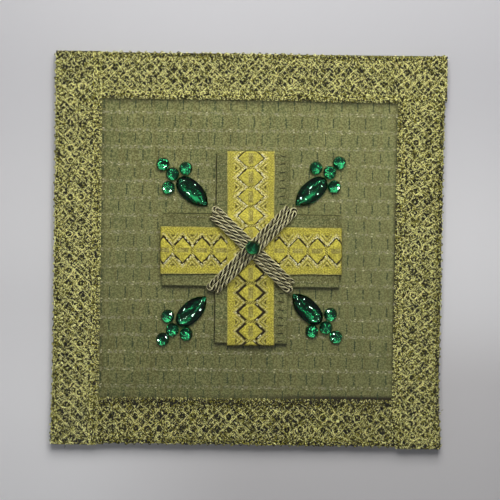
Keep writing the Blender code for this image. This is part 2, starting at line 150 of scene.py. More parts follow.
# The galloon and its row of lozenges, in mm
RIBBON_WIDTH = 20.2
RIBBON_THICKNESS = 0.5
RIBBON_BEND = 0.85
RIBBON_FOOT = 1.0
RIBBON_STEP = 0.26
RIBBON_COLUMNS = 82
LOZENGE_PITCH = 8.27
LOZENGE_HALF_WIDTH = 5.9
LOZENGE_WAIST = 2.15
LOZENGE_BAND = 0.65
LOZENGE_SLOPE = (LOZENGE_HALF_WIDTH - LOZENGE_WAIST) / (LOZENGE_PITCH / 2 - LOZENGE_BAND)
LOZENGE_SLANT = math.hypot(1.0, LOZENGE_SLOPE)
LOWER_RIBBON = 5.1
UPPER_RIBBON = 5.9
RIBBON_STEP_HALF = 1.5 * LOZENGE_PITCH
RIBBON_STEP_RUN = 0.5 * LOZENGE_PITCH

# The laid cord: sizes and heights in mm, and each bar's length and angle in degrees
CORD_WIDTH = 1.95
CORD_FLATNESS = 0.8
CORD_PLIES = 3
CORD_LAY = 8.7
CORD_STEP = 0.34
CORE_RADIUS = 0.5
FILLING_RADIUS, FILLING_DEPTH = 0.4, 0.42
PLY_OUT = 0.60
PLY_RADIUS = 0.39
PLY_SIDES = 16
RUN_PITCH = 2.2
X_MIDDLE = (1.4, 0.2)
UNDER_LENGTH, UNDER_ANGLE = 49.8, -43.6
OVER_LENGTH, OVER_ANGLE = 51.6, 45.9
CORD_HIGH = 7.48
CORD_LOW = 5.88
CORD_HUMP = 9.34
CORD_ON_RIBBONS, CORD_ON_CLOTH = 17.2, 21.4
CORD_DROOP, CORD_DROOP_FROM, CORD_DROOP_RUN = 0.8, 21.6, 4.0
HUMP_TOP, HUMP_FOOT = 2.4, 7.4

# The stones, in mm
ROUND_RADIUS, ROUND_HEIGHT = 2.9, 1.9
CENTRE_RADIUS, CENTRE_HEIGHT = 3.1, 2.0
CENTRE_AT = (1.6, 0.95, 10.42)
NAVETTE_LENGTH, NAVETTE_WIDTH, NAVETTE_HEIGHT = 17.4, 8.9, 2.9
NAVETTE_ENDS_FROM = 4.0
NAVETTE_SIDES, ROUND_SIDES = 20, 14
GIRDLE = 0.45

# The rings of a stone's crown, as shares of its length, its width and its rise, and those of the
# foil within, as a share of its outline and a height in mm. A hole is its x, radius and height.
ROUND_CROWN = ((0.78, 0.78, 0.76), (0.5, 0.5, 1.0))
NAVETTE_CROWN = ((0.90, 0.72, 0.48), (0.76, 0.42, 0.76), (0.60, 0.04, 1.0))
ROUND_FOIL = ((0.0, 0.10), (0.34, 0.24), (0.66, 0.40), (0.95, GIRDLE))
NAVETTE_FOIL = ((0.0, 0.05), (0.34, 0.30), (0.66, 0.55), (0.98, 0.58))
NAVETTE_HOLES = ((6.9, 0.55, 1.3), (-7.2, 0.5, 1.1))

# Each corner's spray: (name, navette x and y in mm, heading in degrees, then each round stone's
# place along and across the heading from the navette's middle, in mm)
SPRAYS = (
    ("top_left", -24.55, 24.67, 138.3, ((11.75, 0.1), (17.65, -0.2), (9.2, -5.5), (9.1, 5.7))),
    ("top_right", 26.36, 25.37, 41.4, ((11.72, 1.1), (17.55, 1.5), (8.5, 6.4), (9.2, -4.9))),
    ("bottom_right", 25.29, -24.92, -45.0, ((11.72, 0.2), (17.6, 0.4), (8.6, -5.3), (9.0, 5.6))),
    ("bottom_left", -24.19, -26.59, 226.0, ((11.75, -0.3), (17.6, -0.4), (8.9, 5.2), (9.0, -5.8))),
)


def smoothstep(share):
    share = np.clip(share, 0.0, 1.0)
    return share * share * (3.0 - 2.0 * share)


# Paths and meshes


def turned_about(points, angle, middle):
    """The points turned by that many degrees, and moved from 0 to the middle."""
    turn = math.radians(angle)
    x = points[:, 0] * math.cos(turn) - points[:, 1] * math.sin(turn) + middle[0]
    y = points[:, 0] * math.sin(turn) + points[:, 1] * math.cos(turn) + middle[1]
    return np.stack((x, y, points[:, 2]), -1)


def distances(path):
    """How far along the path each of its points lies."""
    return np.concatenate(([0.0], np.cumsum(np.linalg.norm(np.diff(path, axis=0), axis=1))))


def across_path(path):
    """The directions sideways and upwards from the path, at each of its points."""
    ahead = np.gradient(path, axis=0)
    ahead /= np.maximum(np.linalg.norm(ahead, axis=1, keepdims=True), 1e-9)
    sideways = np.stack((-ahead[:, 1], ahead[:, 0], np.zeros(len(path))), -1)
    sideways /= np.maximum(np.linalg.norm(sideways, axis=1, keepdims=True), 1e-9)
    return sideways, np.cross(ahead, sideways)


def mesh_piece(name, points, faces, material, smooth=True):
    """An object from its points in mm and its faces, shaded smooth unless told otherwise."""
    mesh = bpy.data.meshes.new(name)
    mesh.from_pydata((np.asarray(points) * MM).tolist(), [], [list(face) for face in faces])
    mesh.polygons.foreach_set("use_smooth", [smooth] * len(mesh.polygons))
    mesh.materials.append(material)
    mesh.update()
    piece = bpy.data.objects.new(name, mesh)
    bpy.context.scene.collection.objects.link(piece)
    return piece


def point_values(piece, name, values):
    """Stores one number for each point, for the material to read."""
    layer = piece.data.attributes.new(name, "FLOAT", "POINT")
    layer.data.foreach_set("value", np.asarray(values, dtype=np.float32))


def show(piece, slot, *nodes):
    """The piece lies on the pall, stands for those solids, and is handed back. The slot is not used."""
    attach(piece, "root")
    if nodes:
        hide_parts(*nodes)
    return piece


def grid_faces(rows, columns, start=0):
    """Quads between neighbouring rows of points, each row `columns` points long."""
    corner = start + np.arange(rows - 1)[:, None] * columns + np.arange(columns - 1)[None, :]
    return np.stack((corner, corner + 1, corner + columns + 1, corner + columns), -1).reshape(-1, 4)


def skin_faces(rows, columns):
    """A closed skin from two grids of points, the upper one first, with walls round their rims."""
    size = rows * columns
    ring = [i * columns for i in range(rows)]
    ring += [size - columns + i for i in range(1, columns)]
    ring += [i * columns + columns - 1 for i in range(rows - 2, -1, -1)]
    ring += list(range(columns - 2, 0, -1))
    walls = [(after, here, here + size, after + size) for here, after in zip(ring, ring[1:] + ring[:1])]
    upper, lower = grid_faces(rows, columns)[:, ::-1], grid_faces(rows, columns, size)
    return np.concatenate((upper, lower)).tolist() + walls


def tube(path, radius, sides, start=0, flatness=1.0, lobes=0, lobe_depth=0.0, lobe_turn=0.0):
    """A thread's points and faces along the path, capped at both ends. Its faces begin at `start`."""
    path = np.asarray(path, dtype=float)
    count = len(path)
    sideways, upwards = across_path(path)
    turn = 2.0 * math.pi * np.arange(sides) / sides
    reach = np.full((count, sides), float(radius))
    if lobes:
        reach *= 1.0 + lobe_depth * np.cos(lobes * turn[None, :] + lobe_turn * distances(path)[:, None])
    out = reach[..., None] * (
        sideways[:, None, :] * np.cos(turn)[None, :, None]
        + upwards[:, None, :] * (np.sin(turn) * flatness)[None, :, None]
    )
    points = (path[:, None, :] + out).reshape(-1, 3)
    ring = np.arange(sides)
    one = start + np.arange(count - 1)[:, None] * sides + ring[None, :]
    two = start + np.arange(count - 1)[:, None] * sides + (ring[None, :] + 1) % sides
    walls = np.stack((one, two, two + sides, one + sides), -1).reshape(-1, 4)
    first = [start + side for side in range(sides)][::-1]
    last = [start + (count - 1) * sides + side for side in range(sides)]
    return points, walls.tolist() + [first, last]


def spindle(path, radius, start, flatness):
    """A short float of thread through three points, which is widest at the middle one."""
    first, middle, last = np.asarray(path, dtype=float)
    ahead = last - first
    sideways = np.array((-ahead[1], ahead[0], 0.0)) / max(math.hypot(ahead[0], ahead[1]), 1e-9)
    upwards = np.array((0.0, 0.0, flatness))
    ring = [middle + radius * out for out in (sideways, upwards, -sideways, -upwards)]
    walls = [(start, start + 1 + side, start + 1 + (side + 1) % 4) for side in range(4)]
    walls += [(start + 5, start + 1 + (side + 1) % 4, start + 1 + side) for side in range(4)]
    return np.array([first, *ring, last]), walls


def float_path(x, y, z, reach, shoulder, dip, rise):
    """Four points of a short float of thread, which reaches that far in x and y to both sides. It
    rises between its shoulders, and its ends dip into the cloth."""
    return np.array([
        (x + reach[0] * end, y + reach[1] * end, z + lift)
        for end, lift in ((-1.0, -dip), (-shoulder, rise), (shoulder, rise), (1.0, -dip))
    ])


class Bundle:
    """Threads gathered into one mesh, with a tint at each point for the material."""

    def __init__(self):
        self.points, self.faces, self.tints, self.size = [], [], [], 0

    def add(self, shape, tints):
        points, faces = shape
        self.points.append(points)
        self.faces.extend(faces)
        self.tints.append(np.broadcast_to(tints, len(points)))
        self.size += len(points)

    def piece(self, name, material, smooth=True):
        piece = mesh_piece(name, np.concatenate(self.points), self.faces, material, smooth)
        point_values(piece, "tint", np.concatenate(self.tints))
        return piece


def thread_piece(name, threads, material, flatness=1.0, smooth=True):
    """One mesh of many threads, given as (path, radius, tint)."""
    bundle = Bundle()
    for path, radius, tint in threads:
        if len(path) == 3:
            bundle.add(spindle(path, radius, bundle.size, flatness), np.mean(tint))
        else:
            tints = np.repeat(np.broadcast_to(tint, len(path)), 4)
            bundle.add(tube(path, radius, 4, bundle.size, flatness), tints)
    return bundle.piece(name, material, smooth)


# Materials


class Finish:
    """A node material: short calls that add a node or a few and give back their output."""

    def __init__(self, name, roughness=0.6, metallic=0.0):
        self.material = bpy.data.materials.new(name)
        self.material.use_nodes = True
        self.tree = self.material.node_tree
        self.shader = self.tree.nodes["Principled BSDF"]
        self.shader.inputs["Roughness"].default_value = roughness
        self.shader.inputs["Metallic"].default_value = metallic

    def node(self, kind, **settings):
        made = self.tree.nodes.new(kind)
        for key, value in settings.items():
            setattr(made, key, value)
        return made

    def feed(self, socket, value):
        if isinstance(value, bpy.types.NodeSocket):
            self.tree.links.new(value, socket)
        else:
            socket.default_value = value

    def maths(self, operation, *values):
        made = self.node("ShaderNodeMath", operation=operation)
        for socket, value in zip(made.inputs, values):
            self.feed(socket, value)
        return made.outputs[0]

    def plus(self, one, two):
        return self.maths("ADD", one, two)

    def less(self, one, two):
        return self.maths("SUBTRACT", one, two)

    def times(self, one, two):
        return self.maths("MULTIPLY", one, two)

    def size_of(self, value):
        return self.maths("ABSOLUTE", value)

    def ramp(self, value, low, high, to_low=0.0, to_high=1.0):
        """Smoothly from one number to another as the value goes from low to high."""
        made = self.node("ShaderNodeMapRange", interpolation_type="SMOOTHSTEP")
        self.feed(made.inputs["Value"], value)
        numbers = {"From Min": low, "From Max": high, "To Min": to_low, "To Max": to_high}
        for key, number in numbers.items():
            made.inputs[key].default_value = number
        return made.outputs["Result"]

    def place(self):
        """The point's own place in mm, as separate X, Y and Z."""
        coordinates = self.node("ShaderNodeTexCoord")
        scaled = self.node("ShaderNodeVectorMath", operation="SCALE")
        self.feed(scaled.inputs[0], coordinates.outputs["Object"])
        scaled.inputs["Scale"].default_value = 1.0 / MM
        parts = self.node("ShaderNodeSeparateXYZ")
        self.feed(parts.inputs[0], scaled.outputs[0])
        self.where = scaled.outputs[0]
        return parts.outputs

    def stretched(self, x, y, z):
        """The place in mm, scaled apart along each axis."""
        made = self.node("ShaderNodeVectorMath", operation="MULTIPLY")
        self.feed(made.inputs[0], self.where)
        made.inputs[1].default_value = (x, y, z)
        return made.outputs[0]

    def noise(self, size, detail=2.0, vector=None):
        made = self.node("ShaderNodeTexNoise")
        made.inputs["Scale"].default_value = 1.0 / size
        made.inputs["Detail"].default_value = detail
        self.feed(made.inputs["Vector"], self.where if vector is None else vector)
        return made.outputs[0]

    def value_of(self, attribute):
        return self.node("ShaderNodeAttribute", attribute_name=attribute).outputs["Fac"]

    def mix(self, share, one, two):
        made = self.node("ShaderNodeMix", data_type="RGBA")
        self.feed(made.inputs["Factor"], share)
        for key, colour in (("A", one), ("B", two)):
            socket = next(s for s in made.inputs if s.name == key and s.type == "RGBA")
            self.feed(socket, colour if isinstance(colour, bpy.types.NodeSocket) else (*colour, 1.0))
        return next(s for s in made.outputs if s.type == "RGBA")

    def bump(self, height, depth):
        """Raises the surface by the height's 0 to 1 times the depth in mm."""
        made = self.node("ShaderNodeBump")
        made.inputs["Distance"].default_value = depth * MM
        self.feed(made.inputs["Height"], height)
        self.feed(self.shader.inputs["Normal"], made.outputs[0])

    def colour(self, value):
        self.feed(self.shader.inputs["Base Color"], value)


def jacquard_dashes(finish, x, y, grain):
    """Where the columns of dark dashes lie, and each point's distance in mm from its row's middle."""
    column = finish.maths("DIVIDE", finish.less(x, COLUMN_AT), COLUMN_PITCH)
    nearest = finish.maths("ROUND", column)
    aside = finish.times(finish.size_of(finish.less(column, nearest)), COLUMN_PITCH)
    rows = finish.maths("DIVIDE", finish.less(DOT_ROW_AT, y), DOT_ROW_PITCH)
    row = finish.maths("FLOOR", rows)
    from_middle = finish.size_of(finish.less(finish.less(rows, row), 0.5))
    along = finish.times(from_middle, DOT_ROW_PITCH)
    every_other = finish.size_of(finish.maths("MODULO", finish.plus(nearest, row), 2.0))
    ragged = finish.times(finish.less(grain, 0.5), 0.9)
    in_width = finish.ramp(finish.plus(aside, ragged), DASH_WIDTH / 2 + 0.12, DASH_WIDTH / 2 - 0.12)
    in_length = finish.ramp(along, DASH_LENGTH / 2 + 0.2, DASH_LENGTH / 2 - 0.2)
    dash = finish.times(finish.times(in_width, in_length), finish.ramp(every_other, 0.6, 0.4))
    return dash, along


def square_tone(finish, tone, x, y, dash, along):
    """The square's cloth: painted light in its middle and to the right, painted shade at the bottom
    and a painted shadow beside the lace, with pale specks between the rows and its dark dashes."""
    out = finish.maths("MAXIMUM", finish.size_of(x), finish.size_of(y))
    # Painted light and shade: paler in a band across the middle and to the right, darker towards the bottom,
    # and darker still in a painted shadow beside the lace, strongest at the lower right.
    middle = finish.times(finish.ramp(y, 55.0, 15.0), finish.ramp(y, -55.0, -15.0, 0.0, 0.11))
    lighter = finish.plus(middle, finish.ramp(x, -40.0, 60.0, 0.0, 0.16))
    slantwise = finish.less(x, finish.times(y, 0.5))
    shade = finish.ramp(slantwise, 20.0, 75.0, 0.3, 1.0)
    painted_lace_shadow = finish.times(finish.ramp(out, SHADOW_FROM, SHADOW_TO), shade)
    pale = finish.ramp(finish.noise(0.8, 1.0), 0.5, 0.6, 0.0, 0.45)
    specks = finish.times(finish.ramp(along, 2.9, 3.3), pale)
    beads = finish.ramp(finish.maths("SINE", finish.times(y, DASH_BEADS)), -0.7, 0.3, 0.65, 1.0)
    for share, colour in (
        (lighter, (0.277, 0.285, 0.115)),
        (finish.ramp(y, 10.0, -60.0, 0.0, 0.16), (0.062, 0.065, 0.010)),
        (painted_lace_shadow, (0.027, 0.023, 0.009)),
        (specks, (0.46, 0.43, 0.29)),
        (finish.times(dash, beads), (0.042, 0.065, 0.027)),
    ):
        tone = finish.mix(share, tone, colour)
    return tone


def cloth_finish(name, turned=False):
    """The green jacquard: a fine weave with soft changes of tone, and on the square columns of dark
    dashes. The cross has its cloth turned, and painted shade darkens it towards its top."""
    finish = Finish(name, roughness=0.62)
    x, y, _z = finish.place()
    grain = finish.noise(0.62, 1.5)
    stretch = (0.06, 0.45, 0.1) if turned else (0.45, 0.06, 0.1)
    streaks = finish.noise(1.0, 2.0, finish.stretched(*stretch))
    clouds = finish.noise(14.0, 2.0)
    fleck = finish.noise(0.8, 1.0, finish.stretched(1.0, 0.6, 1.0))
    tone = finish.mix(finish.ramp(streaks, 0.38, 0.62), (0.117, 0.139, 0.044), (0.139, 0.134, 0.039))
    tone = finish.mix(finish.ramp(grain, 0.40, 0.64), tone, (0.325, 0.330, 0.124))
    tone = finish.mix(finish.ramp(clouds, 0.3, 0.7, 0.0, 0.25), tone, (0.108, 0.115, 0.035))
    tone = finish.mix(finish.ramp(fleck, 0.66, 0.78, 0.0, 0.5), tone, (0.38, 0.35, 0.215))
    ribs = finish.node("ShaderNodeTexWave", wave_type="BANDS", bands_direction="Y" if turned else "X")
    ribs.inputs["Scale"].default_value = 0.75
    ribs.inputs["Distortion"].default_value = 1.2
    ribs.inputs["Detail Scale"].default_value = 2.0
    finish.feed(ribs.inputs["Vector"], finish.where)
    weave = finish.plus(finish.times(ribs.outputs["Fac"], 0.35), grain)
    if turned:
        # Painted shade: the cross's cloth darker towards its top.
        tone = finish.mix(finish.ramp(y, -18.0, 8.0, 0.0, 0.2), tone, (0.04, 0.043, 0.012))
    else:
        dash, along = jacquard_dashes(finish, x, y, grain)
        tone = square_tone(finish, tone, x, y, dash, along)
        weave = finish.less(weave, finish.times(dash, 0.9))
    finish.colour(tone)
    finish.bump(weave, 0.09)
    finish.shader.inputs["Sheen Weight"].default_value = 0.12
    finish.shader.inputs["Specular IOR Level"].default_value = 0.2
    finish.shader.inputs["Sheen Roughness"].default_value = 0.4
    return finish.material


def thread_finish(
    name, pale, middle, dark, roughness, metallic, patch=1.6, glitter=0.9, relief=0.12, shine=0.25,
    bare_metal=0.0, pale_from=(0.5, 1.1),
):
    """Metal-wrapped thread: pale to dark by the thread's own tint and by small patches of painted glitter,
    painted highlights mixed with random tone.
    """
    finish = Finish(name, roughness=roughness, metallic=metallic)
    finish.place()
    tint = finish.value_of("tint")
    patches = finish.noise(patch, 2.0)
    # The patches shift the tint up and down: painted glitter of the metal, with random tone.
    share = finish.plus(tint, finish.times(finish.less(patches, 0.5), glitter))
    lower = finish.mix(finish.ramp(share, 0.0, 0.5), dark, middle)
    finish.colour(finish.mix(finish.ramp(share, *pale_from), lower, pale))
    finish.bump(patches, relief)
    finish.shader.inputs["Specular IOR Level"].default_value = shine
    if bare_metal:
        bare = finish.ramp(finish.noise(0.9, 1.0), 0.5, 0.6, 0.0, bare_metal)
        finish.feed(finish.shader.inputs["Metallic"], bare)
    return finish.material


def galloon_finish():
    """The ribbon: yellow metallic weave, with its pattern's dark and bright threads as stored. Its bright
    threads are painted paler towards the upright's top and the across ribbon's ends: painted light.
    """
    finish = Finish("galloon weave", roughness=0.5, metallic=0.15)
    x, y, _z = finish.place()
    # Painted light: the cream threads turn paler towards the upright's top and the arms' ends.
    lit_ends = finish.ramp(finish.size_of(x), 14.0, 22.0, 0.0, 0.5)
    lit = finish.maths("MAXIMUM", finish.ramp(y, 8.0, 30.0), lit_ends)
    grain = finish.noise(0.55, 1.5)
    clouds = finish.noise(6.0, 2.0)
    tone = finish.mix(finish.ramp(grain, 0.34, 0.66), (0.36, 0.31, 0.03), (0.78, 0.70, 0.095))
    tone = finish.mix(finish.ramp(clouds, 0.35, 0.7, 0.0, 0.25), tone, (0.33, 0.30, 0.07))
    tone = finish.mix(finish.ramp(y, 10.0, 30.0, 0.0, 0.2), tone, (0.33, 0.30, 0.07))
    tone = finish.mix(finish.value_of("fine"), tone, (0.10, 0.08, 0.018))
    cream = finish.mix(lit, (0.62, 0.57, 0.28), (1.0, 0.91, 0.38))
    cream = finish.mix(finish.ramp(grain, 0.4, 0.6), (0.26, 0.23, 0.07), cream)
    tone = finish.mix(finish.value_of("bright"), tone, cream)
    tone = finish.mix(finish.value_of("dark"), tone, (0.022, 0.014, 0.003))
    finish.colour(tone)
    finish.bump(grain, 0.06)
    finish.shader.inputs["Specular IOR Level"].default_value = 0.2
    return finish.material


# Camera, floor and lights


def add_camera():
    camera = bpy.data.objects.new("camera", bpy.data.cameras.new("camera"))
    camera.location = Vector(CAMERA_AT) * MM
    camera.rotation_euler = (0.0, 0.0, CAMERA_TURN)
    camera.data.lens = CAMERA_LENS
    camera.data.sensor_width = 36.0
    camera.data.clip_start = 0.01
    bpy.context.scene.collection.objects.link(camera)
    bpy.context.scene.camera = camera


def add_floor():
    finish = Finish("pale floor", roughness=0.8)
    x, y, _z = finish.place()
    # Painted light and shade on the floor: paler from the pall's middle down, where the lamp is weaker,
    # palest at the lower left, darker at the lower middle and right and to the right at the top.
    far = finish.mix(finish.ramp(x, -90.0, 90.0), (0.595, 0.595, 0.62), (0.545, 0.545, 0.57))
    floor_painted_shade = finish.times(finish.ramp(x, -90.0, 10.0), finish.ramp(y, -15.0, -60.0))
    near = finish.mix(finish.ramp(y, -15.0, -75.0), (0.80, 0.80, 0.82), (0.93, 0.93, 0.95))
    near = finish.mix(floor_painted_shade, near, (0.66, 0.65, 0.66))
    finish.colour(finish.mix(finish.ramp(y, 85.0, -10.0), far, near))
    ways = ((-1, -1), (1, -1), (1, 1), (-1, 1))
    corners = [(right * FLOOR_REACH, up * FLOOR_REACH, 0.0) for right, up in ways]
    mesh_piece("floor", corners, [(0, 1, 2, 3)], finish.material)


def add_light(name, at, size, energy, colour=(1.0, 1.0, 1.0), mirrored_only=False):
    """A square lamp that looks at the pall's middle."""
    lamp = bpy.data.lights.new(name, "AREA")
    lamp.size = size * MM
    lamp.energy = energy
    lamp.color = colour
    thing = bpy.data.objects.new(name, lamp)
    place = Vector(at) * MM
    thing.location = place
    thing.rotation_euler = (-place).to_track_quat("-Z", "Y").to_euler()
    thing.visible_diffuse = not mirrored_only
    thing.visible_glossy = mirrored_only
    bpy.context.scene.collection.objects.link(thing)


def add_lights():
    world = bpy.data.worlds.new("room")
    world.use_nodes = True
    background = world.node_tree.nodes["Background"]
    background.inputs["Color"].default_value = (0.93, 0.95, 1.0, 1.0)
    background.inputs["Strength"].default_value = 0.15
    bpy.context.scene.world = world
    add_light("window", (30.0, 290.0, 300.0), 290.0, 1.7, (1.0, 0.985, 0.96))
    for number, (turn, lean) in enumerate(SPARKS):
        turn, lean = math.radians(turn), math.radians(lean)
        at = Vector((math.sin(lean) * math.cos(turn), math.sin(lean) * math.sin(turn), math.cos(lean)))
        add_light(f"spark {number}", at * SPARK_DISTANCE, SPARK_SIZE, SPARK_POWER, mirrored_only=True)
    bpy.context.scene.view_settings.view_transform = "Standard"


# The cloth-covered square


def edge_inset(edge, share, column):
    """How far the edge lies inside the full square there: column 1 is the lace's, 2 the cloth's."""
    knots = np.array([row[0] for row in edge])
    values = np.array([row[column] for row in edge])
    share = np.clip(share, 0.0, 1.0)
    before = np.clip(np.searchsorted(knots, share, side="left") - 1, 0, len(edge) - 2)
    along = smoothstep((share - knots[before]) / (knots[before + 1] - knots[before]))
    return values[before] + (values[before + 1] - values[before]) * along


def side_lengths(turns):
    """Half the length of the side after that many quarter turns, and half the square across it."""
    return (HALF_HEIGHT, HALF_WIDTH) if turns % 2 == 1 else (HALF_WIDTH, HALF_HEIGHT)


def to_square(points, turns):
    """From a side's own frame, X along it and Y into the square, to the pall's."""
    along, inward = side_lengths(turns)
    turn = math.radians(90.0 * turns)
    points = np.asarray(points, dtype=float)
    x, y = points[:, 0] - along, points[:, 1] - inward
    turned = points.copy()
    turned[:, 0] = x * math.cos(turn) - y * math.sin(turn)
    turned[:, 1] = x * math.sin(turn) + y * math.cos(turn)
    return turned


def field_height(x, y):
    """The face of the cloth, with a shallow trough beside the lace, deepest at the bottom."""
    dips = [
        depth * (1.0 - smoothstep(np.abs(distance) / TROUGH_HALF_WIDTH))
        for distance, depth in (
            (y + TROUGH_AT, TROUGH_BOTTOM), (y - TROUGH_AT, TROUGH_OTHER),
            (x + TROUGH_AT, TROUGH_OTHER), (x - TROUGH_AT, TROUGH_OTHER),
        )
    ]
    inside = np.maximum(np.abs(x), np.abs(y)) < TROUGH_AT + TROUGH_HALF_WIDTH
    waves = 0.06 * np.sin(x / 9.0 + 0.6) * np.sin(y / 13.0 + 1.1) + 0.04 * np.sin(x / 4.3 + y / 17.0)
    return PANEL_THICKNESS - 0.1 + np.where(inside, waves - np.max(dips, axis=0), 0.0)


def cloth_edges(x_share, y_share):
    """The cloth's left, right, bottom and top edges at those shares of the square."""
    bottom = -HALF_HEIGHT + edge_inset(BOTTOM_EDGE, x_share, 2)
    top = HALF_HEIGHT - edge_inset(TOP_EDGE, 1.0 - x_share, 2)
    right = HALF_WIDTH - edge_inset(RIGHT_EDGE, y_share, 2)
    left = -HALF_WIDTH + edge_inset(LEFT_EDGE, 1.0 - y_share, 2)
    return left, right, bottom, top


def build_panel():
    """A grid fitted to the four edges, whose rim turns down to the back over a rounded edge."""
    rim = np.array(PANEL_RIM)
    middle = np.linspace(rim[-1], 2 * HALF_WIDTH - rim[-1], round(2 * HALF_WIDTH / PANEL_STEP))
    share = np.concatenate((rim[:-1], middle, 2 * HALF_WIDTH - rim[-2::-1])) / (2 * HALF_WIDTH)
    xs, ys = np.meshgrid(share, share, indexing="ij")
    left, right, bottom, top = cloth_edges(xs, ys)
    x, y = left + (right - left) * xs, bottom + (top - bottom) * ys
    near = np.minimum.reduce((x - left, right - x, y - bottom, top - y))
    roll = PANEL_ROUND - np.clip(near, 0.0, PANEL_ROUND)
    drop = PANEL_ROUND - np.sqrt(np.maximum(PANEL_ROUND ** 2 - roll ** 2, 0.0))
    upper = np.stack((x, y, field_height(x, y) - drop), -1).reshape(-1, 3)
    lower = np.stack((x, y, drop), -1).reshape(-1, 3)
    points, faces = np.concatenate((upper, lower)), skin_faces(len(share), len(share))
    panel = mesh_piece("panel_cloth", points, faces, cloth_finish("green jacquard"))
    show(panel, "green_cloth", "panel")
    stitches = build_dots()


def build_dots():
    """The jacquard's pale dots, in pairs, each a short float of gold thread."""
    random = np.random.default_rng(11)
    reach = HALF_WIDTH - LACE_WIDTH - 0.5
    threads = []
    for row, column in product(range(17), range(-19, 19)):
        x, y = COLUMN_AT + column * COLUMN_PITCH, DOT_ROW_AT - row * DOT_ROW_PITCH
        if abs(x) > reach or abs(y) > reach or under_cross(x, y):
            continue
        for side in (-0.5, 0.5):
            strength = random.uniform(0.0, 1.0)
            half = 0.18 + 0.20 * strength
            at_x = x + random.normal(0.0, 0.12)
            at_y = y + side * DOT_PAIR + random.normal(0.0, 0.12)
            lean = random.normal(0.0, 0.3)
            ends = (half * math.cos(lean), half * math.sin(lean))
            path = float_path(at_x, at_y, float(field_height(at_x, at_y)), ends, 0.45, 0.08, 0.06)
            threads.append((path, 0.14 + 0.06 * strength, 0.1 + 1.0 * strength))
    pale, middle, dark = (0.72, 0.70, 0.42), (0.40, 0.39, 0.19), (0.23, 0.23, 0.085)
    finish = thread_finish("float stitches", pale, middle, dark, 0.6, 0.0)
    return show(thread_piece("jacquard_dots", threads, finish), "green_cloth")


def under_cross(x, y):
    """Whether the cross, or the narrow edge kept clear round it, covers that place."""
    upright = (UPRIGHT_LEFT, UPRIGHT_RIGHT, CROSS_BOTTOM, CROSS_TOP)
    bar = (CROSS_LEFT, CROSS_RIGHT, BAR_BOTTOM, BAR_TOP)
    return any(
        left - CROSS_CLEAR < x < right + CROSS_CLEAR and bottom - CROSS_CLEAR < y < top + CROSS_CLEAR
        for left, right, bottom, top in (upright, bar)
    )


# The cross of the same cloth


def build_cross():
    xs = (CROSS_LEFT, UPRIGHT_LEFT, UPRIGHT_RIGHT, CROSS_RIGHT)
    ys = (CROSS_BOTTOM, BAR_BOTTOM, BAR_TOP, CROSS_TOP)
    outline = [
        (xs[1], ys[0]), (xs[2], ys[0]), (xs[2], ys[1]), (xs[3], ys[1]), (xs[3], ys[2]), (xs[2], ys[2]),
        (xs[2], ys[3]), (xs[1], ys[3]), (xs[1], ys[2]), (xs[0], ys[2]), (xs[0], ys[1]), (xs[1], ys[1]),
    ]

    def inwards(amount):
        """The outline drawn in by that much: the inner corners move out instead."""
        moved = []
        for i, (x, y) in enumerate(outline):
            before, after = outline[i - 1], outline[(i + 1) % len(outline)]
            one = Vector((x - before[0], y - before[1])).normalized()
            two = Vector((after[0] - x, after[1] - y)).normalized()
            moved.append((x - (one.y + two.y) * amount, y + (one.x + two.x) * amount))
        return moved

    profile = [(0.0, FACE - CROSS_FOOT), (0.0, CROSS_TOP_FACE - CROSS_ROUND)]
    for step in range(1, 4):
        turn = math.pi / 2 * step / 3
        inset, drop = CROSS_ROUND * (1 - math.cos(turn)), CROSS_ROUND * (1 - math.sin(turn))
        profile.append((inset, CROSS_TOP_FACE - drop))
    profile += [(inset, CROSS_TOP_FACE - drop) for inset, drop in CROSS_CREASE]
    points, faces = [], []
    for amount, height in profile:
        points.extend((x, y, height) for x, y in inwards(amount))
    corners = len(outline)
    for first, i in product(range(0, len(points) - corners, corners), range(corners)):
        here, after = first + i, first + (i + 1) % corners
        faces.append((here, after, after + corners, here + corners))
    faces.append(list(range(len(points) - corners, len(points))))
    faces.append(list(range(corners))[::-1])
    cross = mesh_piece("cross_cloth", points, faces, cloth_finish("green jacquard turned", turned=True))
    cross.data.set_sharp_from_angle(angle=math.radians(55.0))
    show(cross, "green_cloth", "cross_base")
    stitches = build_cross_stitches()


